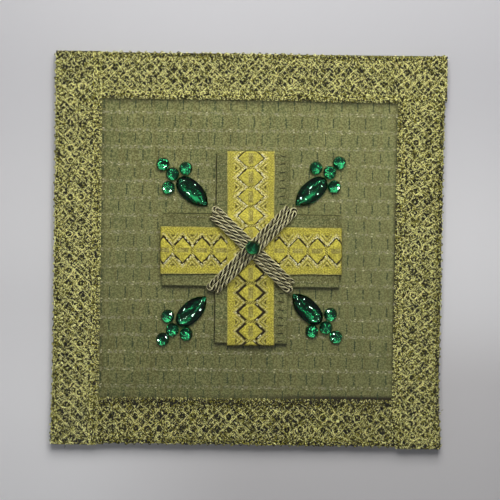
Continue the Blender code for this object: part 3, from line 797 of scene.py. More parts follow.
def build_cross_stitches():
    """The cross cloth's few dashes and dots beside the ribbons, and dark threads just outside its edges, a
    painted shadow of the cross on the cloth.
    """
    random = np.random.default_rng(21)
    threads = []

    def float_stitch(x, y, half, lean, radius, tint):
        x, y = x + random.normal(0.0, 0.1), y + random.normal(0.0, 0.1)
        lean = lean + random.normal(0.0, 0.15)
        ends = (half * math.cos(lean), half * math.sin(lean))
        threads.append((float_path(x, y, CROSS_TOP_FACE, ends, 0.5, 0.1, 0.02), radius, tint))

    for low, high in ((19.0, 41.0), (-39.0, -18.0)):
        for y in np.arange(high, low, -COLUMN_PITCH):
            float_stitch(14.0, y - 0.6, 1.2, 0.0, 0.2, -1.0)
            for x in (-13.6, -12.4, -11.2, 11.6):
                if random.uniform() < 0.6:
                    float_stitch(x, y - 1.0, 0.22, 0.3, 0.15, random.uniform(0.3, 1.2))
    for left, right, y in ((-27.0, -16.0, 13.8), (20.8, 24.6, 13.8), (35.4, 38.6, 13.8), (20.0, 34.0, -13.6)):
        for x in np.arange(left, right, 1.2):
            float_stitch(x, y, 0.3, 0.8, 0.15, random.uniform(0.1, 1.1))
    # Dark threads beside the upright's left edge and along the bar's top: a painted shadow line.
    left, top = UPRIGHT_LEFT - 0.15, BAR_TOP + 0.15
    for start, end in (
        ((left, BAR_TOP + 1.0), (left, CROSS_TOP - 0.3)),
        ((left, CROSS_BOTTOM + 0.3), (left, BAR_BOTTOM - 1.0)),
        ((CROSS_LEFT + 0.3, top), (UPRIGHT_LEFT - 0.3, top)),
        ((UPRIGHT_RIGHT + 0.3, top), (CROSS_RIGHT - 0.3, top)),
    ):
        share = np.linspace(0.0, 1.0, 24)[:, None]
        line = np.array(start) + (np.array(end) - np.array(start)) * share
        line = line + random.normal(0.0, 0.04, line.shape)
        threads.append((np.column_stack((line, np.full(24, FACE + 0.16))), 0.2, -1.0))
    pale, middle, dark = (0.64, 0.62, 0.37), (0.31, 0.30, 0.15), (0.027, 0.03, 0.010)
    finish = thread_finish("cross stitches", pale, middle, dark, 0.6, 0.0)
    return show(thread_piece("cross_stitches", threads, finish), "green_cloth")


# The lace border


def seam(edge, at_start):
    """How far from the corner a strip stops to clear the inner edge of the one across its end."""
    steps = SEAM_SHARE * np.arange(9) / 8
    shares = steps if at_start else 1.0 - steps
    return float(np.max(edge_inset(edge, shares, 1))) + LACE_WIDTH + 2 * PICOT_REACH


class Strip:
    """One side's lace. Its paths run along the side in s and across it in t, from the outer edge."""

    def __init__(self, name, turns, edge, pitch, first_cell, starts_at_seam, ends_at_seam):
        self.name, self.turns, self.edge, self.pitch = name, turns, edge, pitch
        self.length = 2 * side_lengths(turns)[0]
        before, after = SIDES[turns - 1][2], SIDES[(turns + 1) % 4][2]
        self.start = seam(before, False) if starts_at_seam else CORNER_GAP
        self.end = self.length - seam(after, True) if ends_at_seam else self.length - CORNER_GAP
        self.middle = self.length / 2 + first_cell
        self.slope = pitch / CELL_ROW_SPACING
        self.lap = (LACE_LAP if starts_at_seam else 0.0, LACE_LAP if ends_at_seam else 0.0)
        plain = PLAIN_SEAM if starts_at_seam or ends_at_seam else PLAIN_CORNER
        self.patterned = (self.start + plain, self.end - plain)
        self.random = np.random.default_rng(100 + turns)
        self.threads = []

    def columns(self, halves=False):
        """The places along of the cells, or halfway between them, that the strip holds whole."""
        offset = 0.5 if halves else 0.0
        lowest = math.ceil((self.patterned[0] - self.middle) / self.pitch - offset)
        highest = math.floor((self.patterned[1] - self.middle) / self.pitch - offset)
        return [self.middle + (k + offset) * self.pitch for k in range(lowest, highest + 1)]

    def wander(self, count, size, smooth=3):
        """A slow random drift, a number for each of the path's points."""
        steps = self.random.normal(0.0, 1.0, count + smooth)
        return size * np.convolve(steps, np.ones(smooth) / math.sqrt(smooth), "valid")[:count]

    def add(self, s, t, z, radius, tint, crinkle=0.8):
        """A thread along those points. What lies past the strip's ends is cut off. Each point's tint takes
        random painted glints and shade, and the strip's painted light and shade.
        """
        s, t, z = np.broadcast_arrays(np.asarray(s, float), np.asarray(t, float), np.asarray(z, float))
        keep = (s > self.start - self.lap[0]) & (s < self.end + self.lap[1])
        if not keep.all():
            runs = np.flatnonzero(np.diff(np.concatenate(([0], keep.astype(int), [0]))))
            pieces = [(a, b) for a, b in zip(runs[::2], runs[1::2]) if b - a > 1]
        else:
            pieces = [(0, len(s))]
        for a, b in pieces:
            inset = edge_inset(self.edge, s[a:b] / self.length, 1) + PICOT_REACH
            path = np.stack((s[a:b], t[a:b] + inset, z[a:b]), -1)
            # Random painted glints and shade at each point along the thread.
            glint = self.random.uniform(-crinkle, crinkle, b - a)
            self.threads.append((to_square(path, self.turns), radius, tint + STRIP_PAINTED_LIGHT[self.name] + glint))

    def selvedge(self, rows):
        """Rows of knotted loops, one beside the other."""
        loops = (self.end - self.start + 2 * LACE_LAP) / SELVEDGE_LOOP
        count = int(loops * 8)
        for row, t_row in enumerate(rows):
            turn = np.linspace(0.0, 2.0 * math.pi * loops, count) + self.random.uniform(0.0, 6.0)
            s = np.linspace(self.start - LACE_LAP, self.end + LACE_LAP, count)
            reach = 0.62 + self.wander(count, 0.16)
            s = s + reach * np.cos(turn) * 1.15 + self.wander(count, 0.10)
            t = t_row + reach * np.sin(turn) + self.wander(count, 0.2, 9)
            z = FACE + 0.70 + 0.34 * np.sin(turn * 0.5 + row) + self.wander(count, 0.14)
            self.add(s, t, z, self.random.uniform(0.18, 0.23), self.random.uniform(0.2, 0.8))

    def lattice(self):
        """Bright floats in doubled rows that run slantwise from one selvedge to the other, both ways."""
        rows = int(self.length / self.pitch)
        places = np.arange(LATTICE_FROM, LATTICE_TO, LATTICE_STEP)
        for lean in (1.0, -1.0):
            heading = math.atan2(1.0, lean * self.slope)
            usual = 1.05 if BRIGHTER_LEAN.get(self.name, lean) == lean else 0.7
            for k, side, t0 in product(range(-3, rows + 4), (-0.3, 0.3), places):
                if self.random.uniform() < 0.22:
                    continue
                through = self.middle + (k - rows // 2 + 0.5) * self.pitch
                s0 = through + side * 1.3 + lean * self.slope * (t0 - FIRST_CELL_ROW)
                if not self.patterned[0] < s0 < self.patterned[1] and self.random.uniform() < 0.15:
                    continue
                crossing = (t0 - FIRST_CELL_ROW) / CELL_ROW_SPACING
                height = 1.1 + 0.14 * lean * math.cos(2.0 * math.pi * crossing + k * math.pi)
                turn = heading + self.random.normal(0.0, 0.2)
                at = (s0 + self.random.normal(0.0, 0.15), t0 + self.random.normal(0.0, 0.15))
                bright = self.random.normal(usual, 0.4)
                self.float_stitch(at, turn, self.random.uniform(0.6, 1.1), height, FLOAT_RADIUS, bright)

    def float_stitch(self, at, turn, half, height, radius, tint):
        """A short bit of thread round that point, whose ends dip into the net."""
        along = np.array([-half, 0.0, half])
        t = np.clip(at[1] + along * math.sin(turn), 0.1, LACE_WIDTH - 0.1)
        dips = np.array([-0.2, 0.0, -0.2]) + self.random.normal(0.0, 0.07, 3)
        self.add(at[0] + along * math.cos(turn), t, FACE + height + dips, radius, tint, 0.0)

    def ring(self, s0, t0, radius, turns, height, thickness, tint, squeeze=1.0):
        """A wobbling coil of one to three turns round that point."""
        count = int(11 * turns) + 1
        turn = np.linspace(0.0, 2.0 * math.pi * turns, count) + self.random.uniform(0.0, 6.0)
        reach = radius * (1.0 + self.wander(count, 0.16))
        s = s0 + reach * np.cos(turn) * squeeze
        t = t0 + reach * np.sin(turn)
        self.add(s, t, height + self.wander(count, 0.08), thickness, tint)

    def cells(self):
        """The two rows of cells, many with a ring, and the bright floats that cross between them."""
        rows = (FIRST_CELL_ROW, FIRST_CELL_ROW + CELL_ROW_SPACING)
        for t0, s0 in product(rows, self.columns()):
            at_s = s0 + self.random.normal(0.0, 0.25)
            at_t = t0 + self.random.normal(0.0, 0.25)
            if self.random.uniform() < RINGED[self.name]:
                bright, squeeze = self.random.uniform(0.5, 1.0), self.random.uniform(0.82, 1.05)
                self.ring(at_s, at_t, CELL_RADIUS, 1.7, FACE + 0.95, 0.16, bright, squeeze)
            self.spider(at_s, at_t)
        between = [FIRST_CELL_ROW + CELL_ROW_SPACING * step for step in (-0.5, 0.5, 1.5)]
        for t0, s0, lean in product(between, self.columns(halves=True), (1.0, -1.0, 1.0, -1.0)):
            at = (s0 + self.random.normal(0.0, 0.45), t0 + self.random.normal(0.0, 0.45))
            turn = math.atan2(1.0, lean * self.slope) + self.random.normal(0.0, 0.15)
            bright = self.random.uniform(0.6, 1.4)
            self.float_stitch(at, turn, self.random.uniform(0.8, 1.3), 1.2, FLOAT_RADIUS, bright)

    def spider(self, s0, t0):
        """The knot in a cell's middle, and the few threads that hold it across the dark gap."""
        self.ring(s0, t0, 0.27, 1.1, FACE + 0.55, 0.15, self.random.uniform(0.2, 1.0))
        first = self.random.uniform(0.0, math.pi)
        reach = np.linspace(0.2, CELL_RADIUS, 4)
        for leg in range(4):
            turn = first + leg * math.pi / 2 + self.random.normal(0.0, 0.25)
            s, t = s0 + reach * math.cos(turn), t0 + reach * math.sin(turn)
            height = FACE + 0.5 + 0.2 * reach / CELL_RADIUS
            self.add(s, t, height, 0.10, self.random.uniform(0.1, 0.7))

    def ground(self):
        """Fine zigzag threads that fill between the coils."""
        count = int((self.end - self.start) / GROUND_STEP)
        s = np.linspace(self.start, self.end, count)
        zigzag = np.where(np.arange(count) % 2 == 0, 0.55, -0.55)
        for t_row in GROUND_ROWS:
            t = t_row + zigzag + self.wander(count, 0.15)
            self.add(s + self.wander(count, 0.15), t, FACE + 0.5 + self.wander(count, 0.08), 0.12, 0.35)

    def shade(self, s, t):
        """How bright the threads are there: the lattice and rims are bright, and the threads in the open
        cells are darkened with painted shade.
        """
        if not self.patterned[0] < s < self.patterned[1]:
            return 0.6
        across = (t - FIRST_CELL_ROW) / CELL_ROW_SPACING
        along = (s - self.middle) / self.pitch
        row, column = round(across), round(along)
        leans = (along + across + 0.5, along - across + 0.5)
        off_line = min(abs(lean - round(lean)) for lean in leans) * 3.6
        in_net = smoothstep((1.25 - abs(across - 0.5)) * 3.0)
        bright = 0.47 + in_net * (0.35 * float(smoothstep(1.0 - off_line)) - 0.12)
        off_cell = math.hypot((along - column) * self.pitch, (across - row) * CELL_ROW_SPACING)
        # Painted shade: threads in a cell are darkened, more in some cells than in others.
        if -0.5 < across < 1.5 and off_cell < 1.3:
            uneven = abs(math.sin(3.7 * column + 5.1 * row))
            bright -= CELL_PAINTED_SHADE[self.name] * (0.15 + 0.5 * uneven)
        return bright

    def strokes(self):
        """Short crinkled bits of thread all over the strip, which catch the light. Half of them lie
        along the lattice, and the rest any way."""
        for _bit in range(int(self.length * STROKES_FOR_EACH_MM)):
            s0 = self.random.uniform(self.start - LACE_LAP, self.end + LACE_LAP)
            t0 = self.random.uniform(0.2, LACE_WIDTH - 0.2)
            bright = self.shade(s0, t0)
            if bright < 0.1 and self.random.uniform() < 0.3:
                continue
            tint = bright + self.random.normal(0.0, 0.75)
            radius = self.random.uniform(0.095, 0.17)
            turn, half = self.random.uniform(0.0, math.pi), self.random.uniform(0.3, 0.62)
            if self.random.uniform() < 0.5:
                lean = BRIGHTER_LEAN.get(self.name, 1.0) * (1.0 if self.random.uniform() < 0.6 else -1.0)
                turn = math.atan2(1.0, lean * self.slope) + self.random.normal(0.0, 0.3)
            self.float_stitch((s0, t0), turn, half, self.random.uniform(0.7, 1.25), radius, tint)

    def picots(self):
        """Small loops that stand out of the outer edge, and smaller ones along the inner one."""
        count = round((self.end - self.start) / PICOT_PITCH)
        for step in range(count):
            s0 = self.start + (step + 0.5) * (self.end - self.start) / count + self.random.normal(0.0, 0.2)
            outer = 0.12 + self.random.normal(0.0, 0.06)
            self.ring(s0, outer, 0.42, 1.3, FACE + 0.35, 0.17, self.random.uniform(0.25, 0.75))
            for inner in (-0.25, 0.25):
                at = s0 + inner * PICOT_PITCH
                self.ring(at, LACE_WIDTH - 0.1, 0.45, 1.2, FACE + 0.4, 0.15, self.random.uniform(0.3, 1.0))

    def loose_ends(self):
        """The few ends of thread that stand out, a little curled."""
        for side, start, end, height, tint in LOOSE_ENDS:
            if side == self.name:
                middle = ((start[0] + end[0]) / 2 + 0.15, (start[1] + end[1]) / 2)
                path = np.array([(*start, FACE + 0.6), (*middle, FACE + height + 0.3), (*end, FACE + height)])
                self.threads.append((path, 0.13, np.full(3, tint)))


def build_lace_net(strip, material):
    """The net's ground, a thin sheet under the threads that takes their relief. It is nearly black, both the
    net's own dark ground and painted shade in the gaps between the threads.
    """
    rows = int((strip.end - strip.start) / NET_STEP) + 1
    lengthwise, crosswise = np.linspace(strip.start, strip.end, rows), np.linspace(0.0, 1.0, NET_COLUMNS)
    s, share = np.meshgrid(lengthwise, crosswise, indexing="ij")
    inset = edge_inset(strip.edge, s / strip.length, 1) + PICOT_REACH
    t = NET_INSET + (LACE_WIDTH - 2 * NET_INSET) * share
    across = (t - FIRST_CELL_ROW) / CELL_ROW_SPACING
    along = (s - strip.middle) / strip.pitch
    in_rows = smoothstep((1.1 - np.abs(across - 0.5)) * 4.0)
    pits = 0.5 + 0.25 * (np.cos(2.0 * math.pi * along) + np.cos(2.0 * math.pi * across))
    upper = FACE + 0.34 - 0.22 * in_rows * pits
    lower = np.full_like(upper, FACE - 0.2)
    layers = [np.stack((s, t + inset, z), -1).reshape(-1, 3) for z in (upper, lower)]
    points = to_square(np.concatenate(layers), strip.turns)
    return mesh_piece("lace_net_" + strip.name, points, skin_faces(rows, NET_COLUMNS), material)


def lace_ground_finish():
    finish = Finish("lace ground", roughness=0.6, metallic=0.2)
    finish.place()
    knots = finish.noise(0.7, 2.0)
    # Nearly black: the net's dark ground and painted shade in the gaps between the threads.
    tone = finish.mix(finish.ramp(knots, 0.45, 0.65), (0.008, 0.008, 0.003), (0.05, 0.045, 0.015))
    finish.colour(tone)
    finish.bump(knots, 0.3)
    return finish.material


def build_lace():
    ground = lace_ground_finish()
    # The lace thread runs from a near-black, painted shade between the threads, through olive gold to a full
    # pale gold that carries its painted glints.
    pale, middle, dark = (1.0, 0.98, 0.40), (0.29, 0.265, 0.02), (0.004, 0.003, 0.001)
    thread = thread_finish("lace thread", pale, middle, dark, 0.3, 0.0, 0.5, 0.4, 0.02, 0.4, 0.7, (0.55, 1.0))
    for side in SIDES:
        strip = Strip(*side)
        strip.selvedge(SELVEDGE_ROWS)
        strip.selvedge([LACE_WIDTH - row for row in reversed(SELVEDGE_ROWS)])
        strip.ground()
        strip.cells()
        strip.lattice()
        strip.strokes()
        strip.picots()
        strip.loose_ends()
        net = build_lace_net(strip, ground)
        show(net, "gold_lace")
        threads = thread_piece("lace_threads_" + strip.name, strip.threads, thread, 0.55, smooth=False)
        show(threads, "gold_lace", "lace_" + strip.name)


# The galloon ribbons


def galloon_pattern(along, across, bold):
    """The galloon's relief in mm and its dark, bright and fine threads, at places in mm from a lozenge.
    The outlines are bold mm wide to each side."""
    a = np.abs(along - LOZENGE_PITCH * np.round(along / LOZENGE_PITCH))
    c = np.abs(across)
    half = LOZENGE_PITCH / 2
    outline = (c - (LOZENGE_HALF_WIDTH - LOZENGE_SLOPE * a)) / LOZENGE_SLANT
    in_band = (a > half - LOZENGE_BAND) & (c < 2.3)
    inside = (outline < 0.0) & ~in_band

    def line(distance, width):
        return 1.0 - smoothstep((np.abs(distance) - width) / 0.12)

    def laid(under, there, strength):
        """The strength so far, raised to the new one where that thread lies."""
        return np.maximum(under, np.where(there, strength, 0.0))

    dark = line(outline, bold) * np.where(in_band, 0.0, 1.0)
    bright = line(outline - 0.90, 0.28) * 0.7
    strokes = 0.5 + 0.5 * np.sin(2.0 * math.pi * (across + 0.9 * (along % LOZENGE_PITCH)) / 1.05)
    dark = laid(dark, in_band, 0.85 * smoothstep(strokes * 2.0 - 0.7))
    bright = laid(bright, in_band, 0.5 * smoothstep(0.8 - strokes * 2.0))
    notch = half - a
    chevron = (c - (4.0 + 1.19 * notch)) / math.hypot(1.0, 1.19)
    in_notch = notch < 2.2
    dark = laid(dark, in_notch, 0.8 * line(chevron, 0.12))
    bright = laid(bright, in_notch, 0.6 * line(chevron - 0.46, 0.16))
    triangle = np.maximum(np.abs(c - 6.15) - 0.45, notch - 0.95 * (c - 5.6))
    dark = np.maximum(dark, 0.8 * (1.0 - smoothstep(triangle / 0.15)))
    speck = np.sin(along * 7.3) * np.sin(across * 8.1 + along * 2.2)
    column = (c < 0.95) & (a < 2.4)
    fine = np.where(column, smoothstep(speck * 2.4 + 0.45), 0.0)
    bright = laid(bright, column, 0.5 * smoothstep(-speck * 2.4))
    margin = smoothstep((c - 6.7) / 0.3)
    scale_row = (c - 6.6) / 0.62
    shifted = 2.0 * math.pi * along / 1.38 + math.pi * np.floor(scale_row)
    scales = np.sin(shifted) * np.cos(math.pi * scale_row)
    fine = np.maximum(fine, margin * 0.75 * smoothstep(scales * 1.7 - 0.25))
    bright = np.maximum(bright, smoothstep((c - 9.75) / 0.2) * 0.35)
    relief = 0.14 * inside * smoothstep(-outline / 1.2) - 0.11 * dark + 0.04 * bright - 0.03 * fine
    return relief, np.clip(dark, 0.0, 1.0), np.clip(bright, 0.0, 1.0), np.clip(fine, 0.0, 1.0)


def ribbon_rise(along, step_height):
    """How far the ribbon lies above its ends' height, where it steps over the other one."""
    return step_height * (1.0 - smoothstep((np.abs(along) - RIBBON_STEP_HALF) / RIBBON_STEP_RUN))


def build_painted_glints(name, length, step_height, middle, angle, first_lozenge, chance, finish):
    """Short bright floats along the lozenges, as often as chance(along, way) says: painted glints, gathered
    where the light catches the weave.
    """
    random = np.random.default_rng(300 + len(name))
    reach = length / 2 - RIBBON_BEND - 0.6
    steps = np.arange(0.1, LOZENGE_PITCH / 2, 0.4)
    threads = []
    for lozenge, way, side, step in product(range(-6, 7), (-1.0, 1.0), (-1.0, 1.0), steps):
        along = first_lozenge + lozenge * LOZENGE_PITCH + way * step + random.normal(0.0, 0.12)
        across = side * (LOZENGE_HALF_WIDTH + 0.4 - LOZENGE_SLOPE * step + random.normal(0.0, 0.15))
        if abs(along) > reach or random.uniform() > chance(along, way):
            continue
        half = random.uniform(0.25, 0.5) / LOZENGE_SLANT
        top = LOWER_RIBBON + RIBBON_THICKNESS + float(ribbon_rise(along, step_height))
        path = float_path(along, across, top, (way * half, -side * LOZENGE_SLOPE * half), 0.5, 0.1, 0.1)
        tint = random.uniform(0.5, 1.5)
        threads.append((turned_about(path, angle, middle), random.uniform(0.17, 0.27), tint))
    return show(thread_piece("galloon_painted_glints_" + name, threads, finish), "yellow_galloon")


def build_ribbon(length, step_height, middle, angle, first_lozenge, bold):
    """A strip bent down at its two ends, which steps over the other ribbon if it lies on it."""
    half = length / 2
    shoulder = half - RIBBON_BEND
    fine = np.arange(-shoulder, shoulder, RIBBON_STEP)
    turned = np.linspace(0.0, math.pi / 2, 6)[1:]
    end_along = shoulder + RIBBON_BEND * np.sin(turned)
    end_drop = -RIBBON_BEND * (1.0 - np.cos(turned))
    foot = np.linspace(-RIBBON_BEND, -RIBBON_BEND - RIBBON_FOOT, 4)[1:]
    tip_along = np.concatenate(([shoulder], end_along, np.full(3, half)))
    tip_drop = np.concatenate(([0.0], end_drop, foot))
    along = np.concatenate((-tip_along[::-1], fine[1:], tip_along))
    drop = np.concatenate((tip_drop[::-1], np.zeros(len(fine) - 1), tip_drop))
    over = ribbon_rise(along, step_height)
    woven = along - np.sign(along) * drop
    across = np.linspace(-RIBBON_WIDTH / 2, RIBBON_WIDTH / 2, RIBBON_COLUMNS)
    a, c = np.meshgrid(woven, across, indexing="ij")
    # The outlines widen from one end to the other; on the upright they are bolder towards its foot, as
    # painted shade.
    outline = bold[0] + (bold[1] - bold[0]) * smoothstep(0.5 + a / 50.0)
    relief, dark, bright, thin = galloon_pattern(a - first_lozenge, c, outline)
    edge_wave = 0.10 * np.sin(woven / 7.0 + angle) + 0.05 * np.sin(woven / 2.3)
    side = c + np.outer(edge_wave, across / across.max()) * np.abs(across / across.max()) ** 3
    flat = (np.abs(drop) < 1e-6)[:, None]
    height = LOWER_RIBBON + RIBBON_THICKNESS + (drop + over)[:, None] + np.where(flat, relief, 0.0)
    height = height - 0.12 * smoothstep((np.abs(c) - RIBBON_WIDTH / 2 + 0.35) / 0.35)
    top = np.stack((np.broadcast_to(along[:, None], a.shape), side, height), -1)
    bent = np.clip(-drop / RIBBON_BEND, 0.0, 1.0)
    thick = np.stack((
        -np.sign(along) * RIBBON_THICKNESS * bent,
        np.zeros(len(along)),
        -RIBBON_THICKNESS * (1.0 - bent) - 0.02,
    ), -1)
    low = top + thick[:, None, :]
    low[..., 2] = np.where(flat, LOWER_RIBBON - 0.05 + over[:, None], low[..., 2])
    low = low[:, (0, -1)]
    points = turned_about(np.concatenate((top.reshape(-1, 3), low.reshape(-1, 3))), angle, middle)
    rows, columns = a.shape
    size = rows * columns
    faces = grid_faces(rows, columns)[:, ::-1].tolist() + grid_faces(rows, 2, size).tolist()
    for i in range(rows - 1):
        near, far = i * columns, i * columns + columns - 1
        under = size + 2 * i
        faces.append((near, near + columns, under + 2, under))
        faces.append((far + columns, far, under + 1, under + 3))
    last, under = size - columns, size + 2 * rows
    faces.append(list(range(columns))[::-1] + [size, size + 1])
    faces.append(list(range(last, size)) + [under - 1, under - 2])
    return points, faces, (dark, bright, thin)


def build_ribbons():
    weave = galloon_finish()
    across_length = CROSS_RIGHT - CROSS_LEFT + 2 * RIBBON_BEND
    upright_length = CROSS_TOP - CROSS_BOTTOM + 2 * RIBBON_BEND
    step = UPPER_RIBBON - LOWER_RIBBON
    pale, yellow, dark = (1.0, 0.97, 0.62), (0.85, 0.74, 0.24), (0.45, 0.38, 0.07)
    gold = thread_finish("galloon floats", pale, yellow, dark, 0.2, 0.0, shine=0.7)

    # Painted glints: the floats gather towards the upright's top and on the across ribbon's right arm.
    def more_at_top(along, _way):
        return min(max((along + 4.0) / 20.0, 0.04), 0.8)

    def more_at_right(along, way):
        return (0.7 if way < 0 else 0.25) if along > 0 else 0.35

    for name, length, rise, middle, angle, first, bold, chance in (
        ("across", across_length, 0.0, (0.95, -0.25), 0.37, 4.57 - 0.95, (0.40, 0.36), more_at_right),
        ("upright", upright_length, step, (0.8, 0.7), 90.68, -1.9 - 0.7, (0.50, 0.26), more_at_top),
    ):
        points, faces, values = build_ribbon(length, rise, middle, angle, first, bold)
        ribbon = mesh_piece("galloon_" + name, points, faces, weave)
        for key, value in zip(("dark", "bright", "fine"), values):
            point_values(ribbon, key, np.concatenate((value.reshape(-1), np.zeros(2 * len(value)))))
        show(ribbon, "yellow_galloon", "ribbon_" + name)
        glints = build_painted_glints(name, length, rise, middle, angle, first, chance, gold)


# The laid cord


def cord_centre_height(distance, goes_over):
    """The middle of a cord that far from the crossing: it steps down at the ribbons' edge and droops
    at its end, and the upper bar has a hump over the lower one."""
    onto_cloth = (distance - CORD_ON_RIBBONS) / (CORD_ON_CLOTH - CORD_ON_RIBBONS)
    height = CORD_HIGH + (CORD_LOW - CORD_HIGH) * smoothstep(onto_cloth)
    height = height - CORD_DROOP * smoothstep((distance - CORD_DROOP_FROM) / CORD_DROOP_RUN)
    if goes_over:
        hump = 1.0 - smoothstep((distance - HUMP_TOP) / (HUMP_FOOT - HUMP_TOP))
        height = height + (CORD_HUMP - CORD_HIGH) * hump
    return height


def cord_path(length, goes_over, step):
    """Three runs back and forth, joined by half turns at the bar's ends, in even steps."""
    radius = RUN_PITCH / 2
    reach = length / 2 - radius - CORD_WIDTH / 2
    run, turn = 2 * reach, math.pi * radius
    total = 3 * run + 2 * turn
    path = []
    for left in np.linspace(0.0, total, round(total / step) + 1):
        lane = 0
        while lane < 2 and left > run + turn:
            left -= run + turn
            lane += 1
        way = 1 if lane % 2 == 0 else -1
        centre = (lane - 1) * RUN_PITCH
        if left <= run:
            along, side = way * (left - reach), centre
        else:
            turned = (left - run) / radius
            along = way * (reach + radius * math.sin(turned))
            side = centre + radius * (1.0 - math.cos(turned))
        path.append((along, side, float(cord_centre_height(math.hypot(along, side), goes_over))))
    return np.array(path)


def build_cord(name, length, angle, goes_over, material):
    """Three plies wound round the cord's path, each with the ridges of its own strands, over a dark
    core and dark fillings between the runs. The plies are painted paler where they face out and on
    their crests and darker in the hollows, and the near-black core and fillings are painted shade."""
    path = cord_path(length, goes_over, CORD_STEP)
    sideways, upwards = across_path(path)
    twist = -2.0 * math.pi * distances(path) / CORD_LAY
    bundle = Bundle()
    for ply in range(CORD_PLIES):
        turn = twist + 2.0 * math.pi * ply / CORD_PLIES
        out = PLY_OUT * (sideways * np.cos(turn)[:, None] + upwards * (np.sin(turn) * CORD_FLATNESS)[:, None])
        strands = tube(path + out, PLY_RADIUS, PLY_SIDES, bundle.size, 0.9, 4, 0.13, 1.5)
        reach = strands[0].reshape(len(path), PLY_SIDES, 3) - (path + out)[:, None, :]
        outward = np.einsum("ij,ikj->ik", out, reach) / (PLY_OUT * PLY_RADIUS)
        ridge = (np.linalg.norm(reach, axis=2) / PLY_RADIUS - 0.95) * 5.0
        # Painted light and shade: paler where the strand faces out and on its crests, darker in the hollows.
        bundle.add(strands, (0.12 + 1.25 * outward + 1.3 * ridge).reshape(-1))
    # Near-black core and fillings: painted shade inside the cord.
    bundle.add(tube(path, CORE_RADIUS, 8, bundle.size, CORD_FLATNESS), -1.0)
    reach = length / 2 - RUN_PITCH
    line = np.linspace(-reach, reach, 60)
    heights = [float(cord_centre_height(abs(along), goes_over)) - FILLING_DEPTH for along in line]
    for side in (-0.5 * RUN_PITCH, 0.5 * RUN_PITCH):
        between = np.stack((line, np.full(60, side), heights), -1)
        bundle.add(tube(between, FILLING_RADIUS, 6, bundle.size), -1.0)
    bundle.points = [turned_about(np.concatenate(bundle.points), angle, X_MIDDLE)]
    cord = bundle.piece("twisted_" + name, material)
    show(cord, "gold_cord", name)


def build_cords():
    pale, middle, dark = (1.0, 0.95, 0.55), (0.22, 0.19, 0.082), (0.005, 0.004, 0.002)
    material = thread_finish("cord thread", pale, middle, dark, 0.24, 0.12, 0.8)
    build_cord("cord_under", UNDER_LENGTH, UNDER_ANGLE, False, material)
    build_cord("cord_over", OVER_LENGTH, OVER_ANGLE, True, material)


# The stones


def mottled(name, roughness, metallic, spots, detail, dark, light, edges=None):
    """Spots of two colours, that many mm across. Edges are the noise's levels where they meet."""
    finish = Finish(name, roughness, metallic)
    finish.place()
    share = finish.noise(spots, detail)
    finish.colour(finish.mix(finish.ramp(share, *edges) if edges else share, dark, light))
    return finish.material


def stone_finishes():
    """Clear green glass, the foil behind it, a deeper foil, and the rims of the drilled holes, mottled pale
    mint as a painted sparkle.
    """
    glass = Finish("emerald glass", roughness=0.02)
    glass.shader.inputs["Base Color"].default_value = (0.20, 0.79, 0.48, 1.0)
    glass.shader.inputs["Transmission Weight"].default_value = 1.0
    glass.shader.inputs["IOR"].default_value = 1.5
    glass.place()
    glass.bump(glass.noise(2.6, 0.0), 0.05)
    return (
        glass.material,
        mottled("green foil", 0.14, 1.0, 1.2, 1.0, (0.014, 0.062, 0.034), (0.085, 0.24, 0.15)),
        mottled("deep green foil", 0.2, 1.0, 2.5, 1.0, (0.006, 0.036, 0.019), (0.024, 0.115, 0.064)),
        # The rims' pale mint mottling is a painted sparkle of light in the holes.
        mottled("drilled rim", 0.2, 0.3, 0.5, 0.0, (0.01, 0.06, 0.03), (0.22, 0.66, 0.50), (0.4, 0.6)),
    )


def crown_faces(count, layers):
    """Upright walls on the lowest layer, triangles that lean by turns above it, and both ends."""
    faces = []
    for layer, i in product(range(layers), range(count)):
        one, two = layer * count + i, layer * count + (i + 1) % count
        three, four = two + count, one + count
        if layer == 0:
            faces.append((one, two, three, four))
        elif i % 2 == layer % 2:
            faces.extend(((one, two, three), (one, three, four)))
        else:
            faces.extend(((one, two, four), (two, three, four)))
    faces.append([layers * count + i for i in range(count)])
    faces.append(list(range(count))[::-1])
    return faces


def foil_faces(count, rings, first):
    """Triangles round a middle point, whose number is first, and on through the rings round it."""
    faces = []
    for i in range(count):
        here, after = first + 1 + i, first + 1 + (i + 1) % count
        faces.append((first, here, after))
        for layer in range(rings - 1):
            one, two = here + layer * count, after + layer * count
            faces.extend(((one, one + count, two), (two, one + count, two + count)))
    return faces


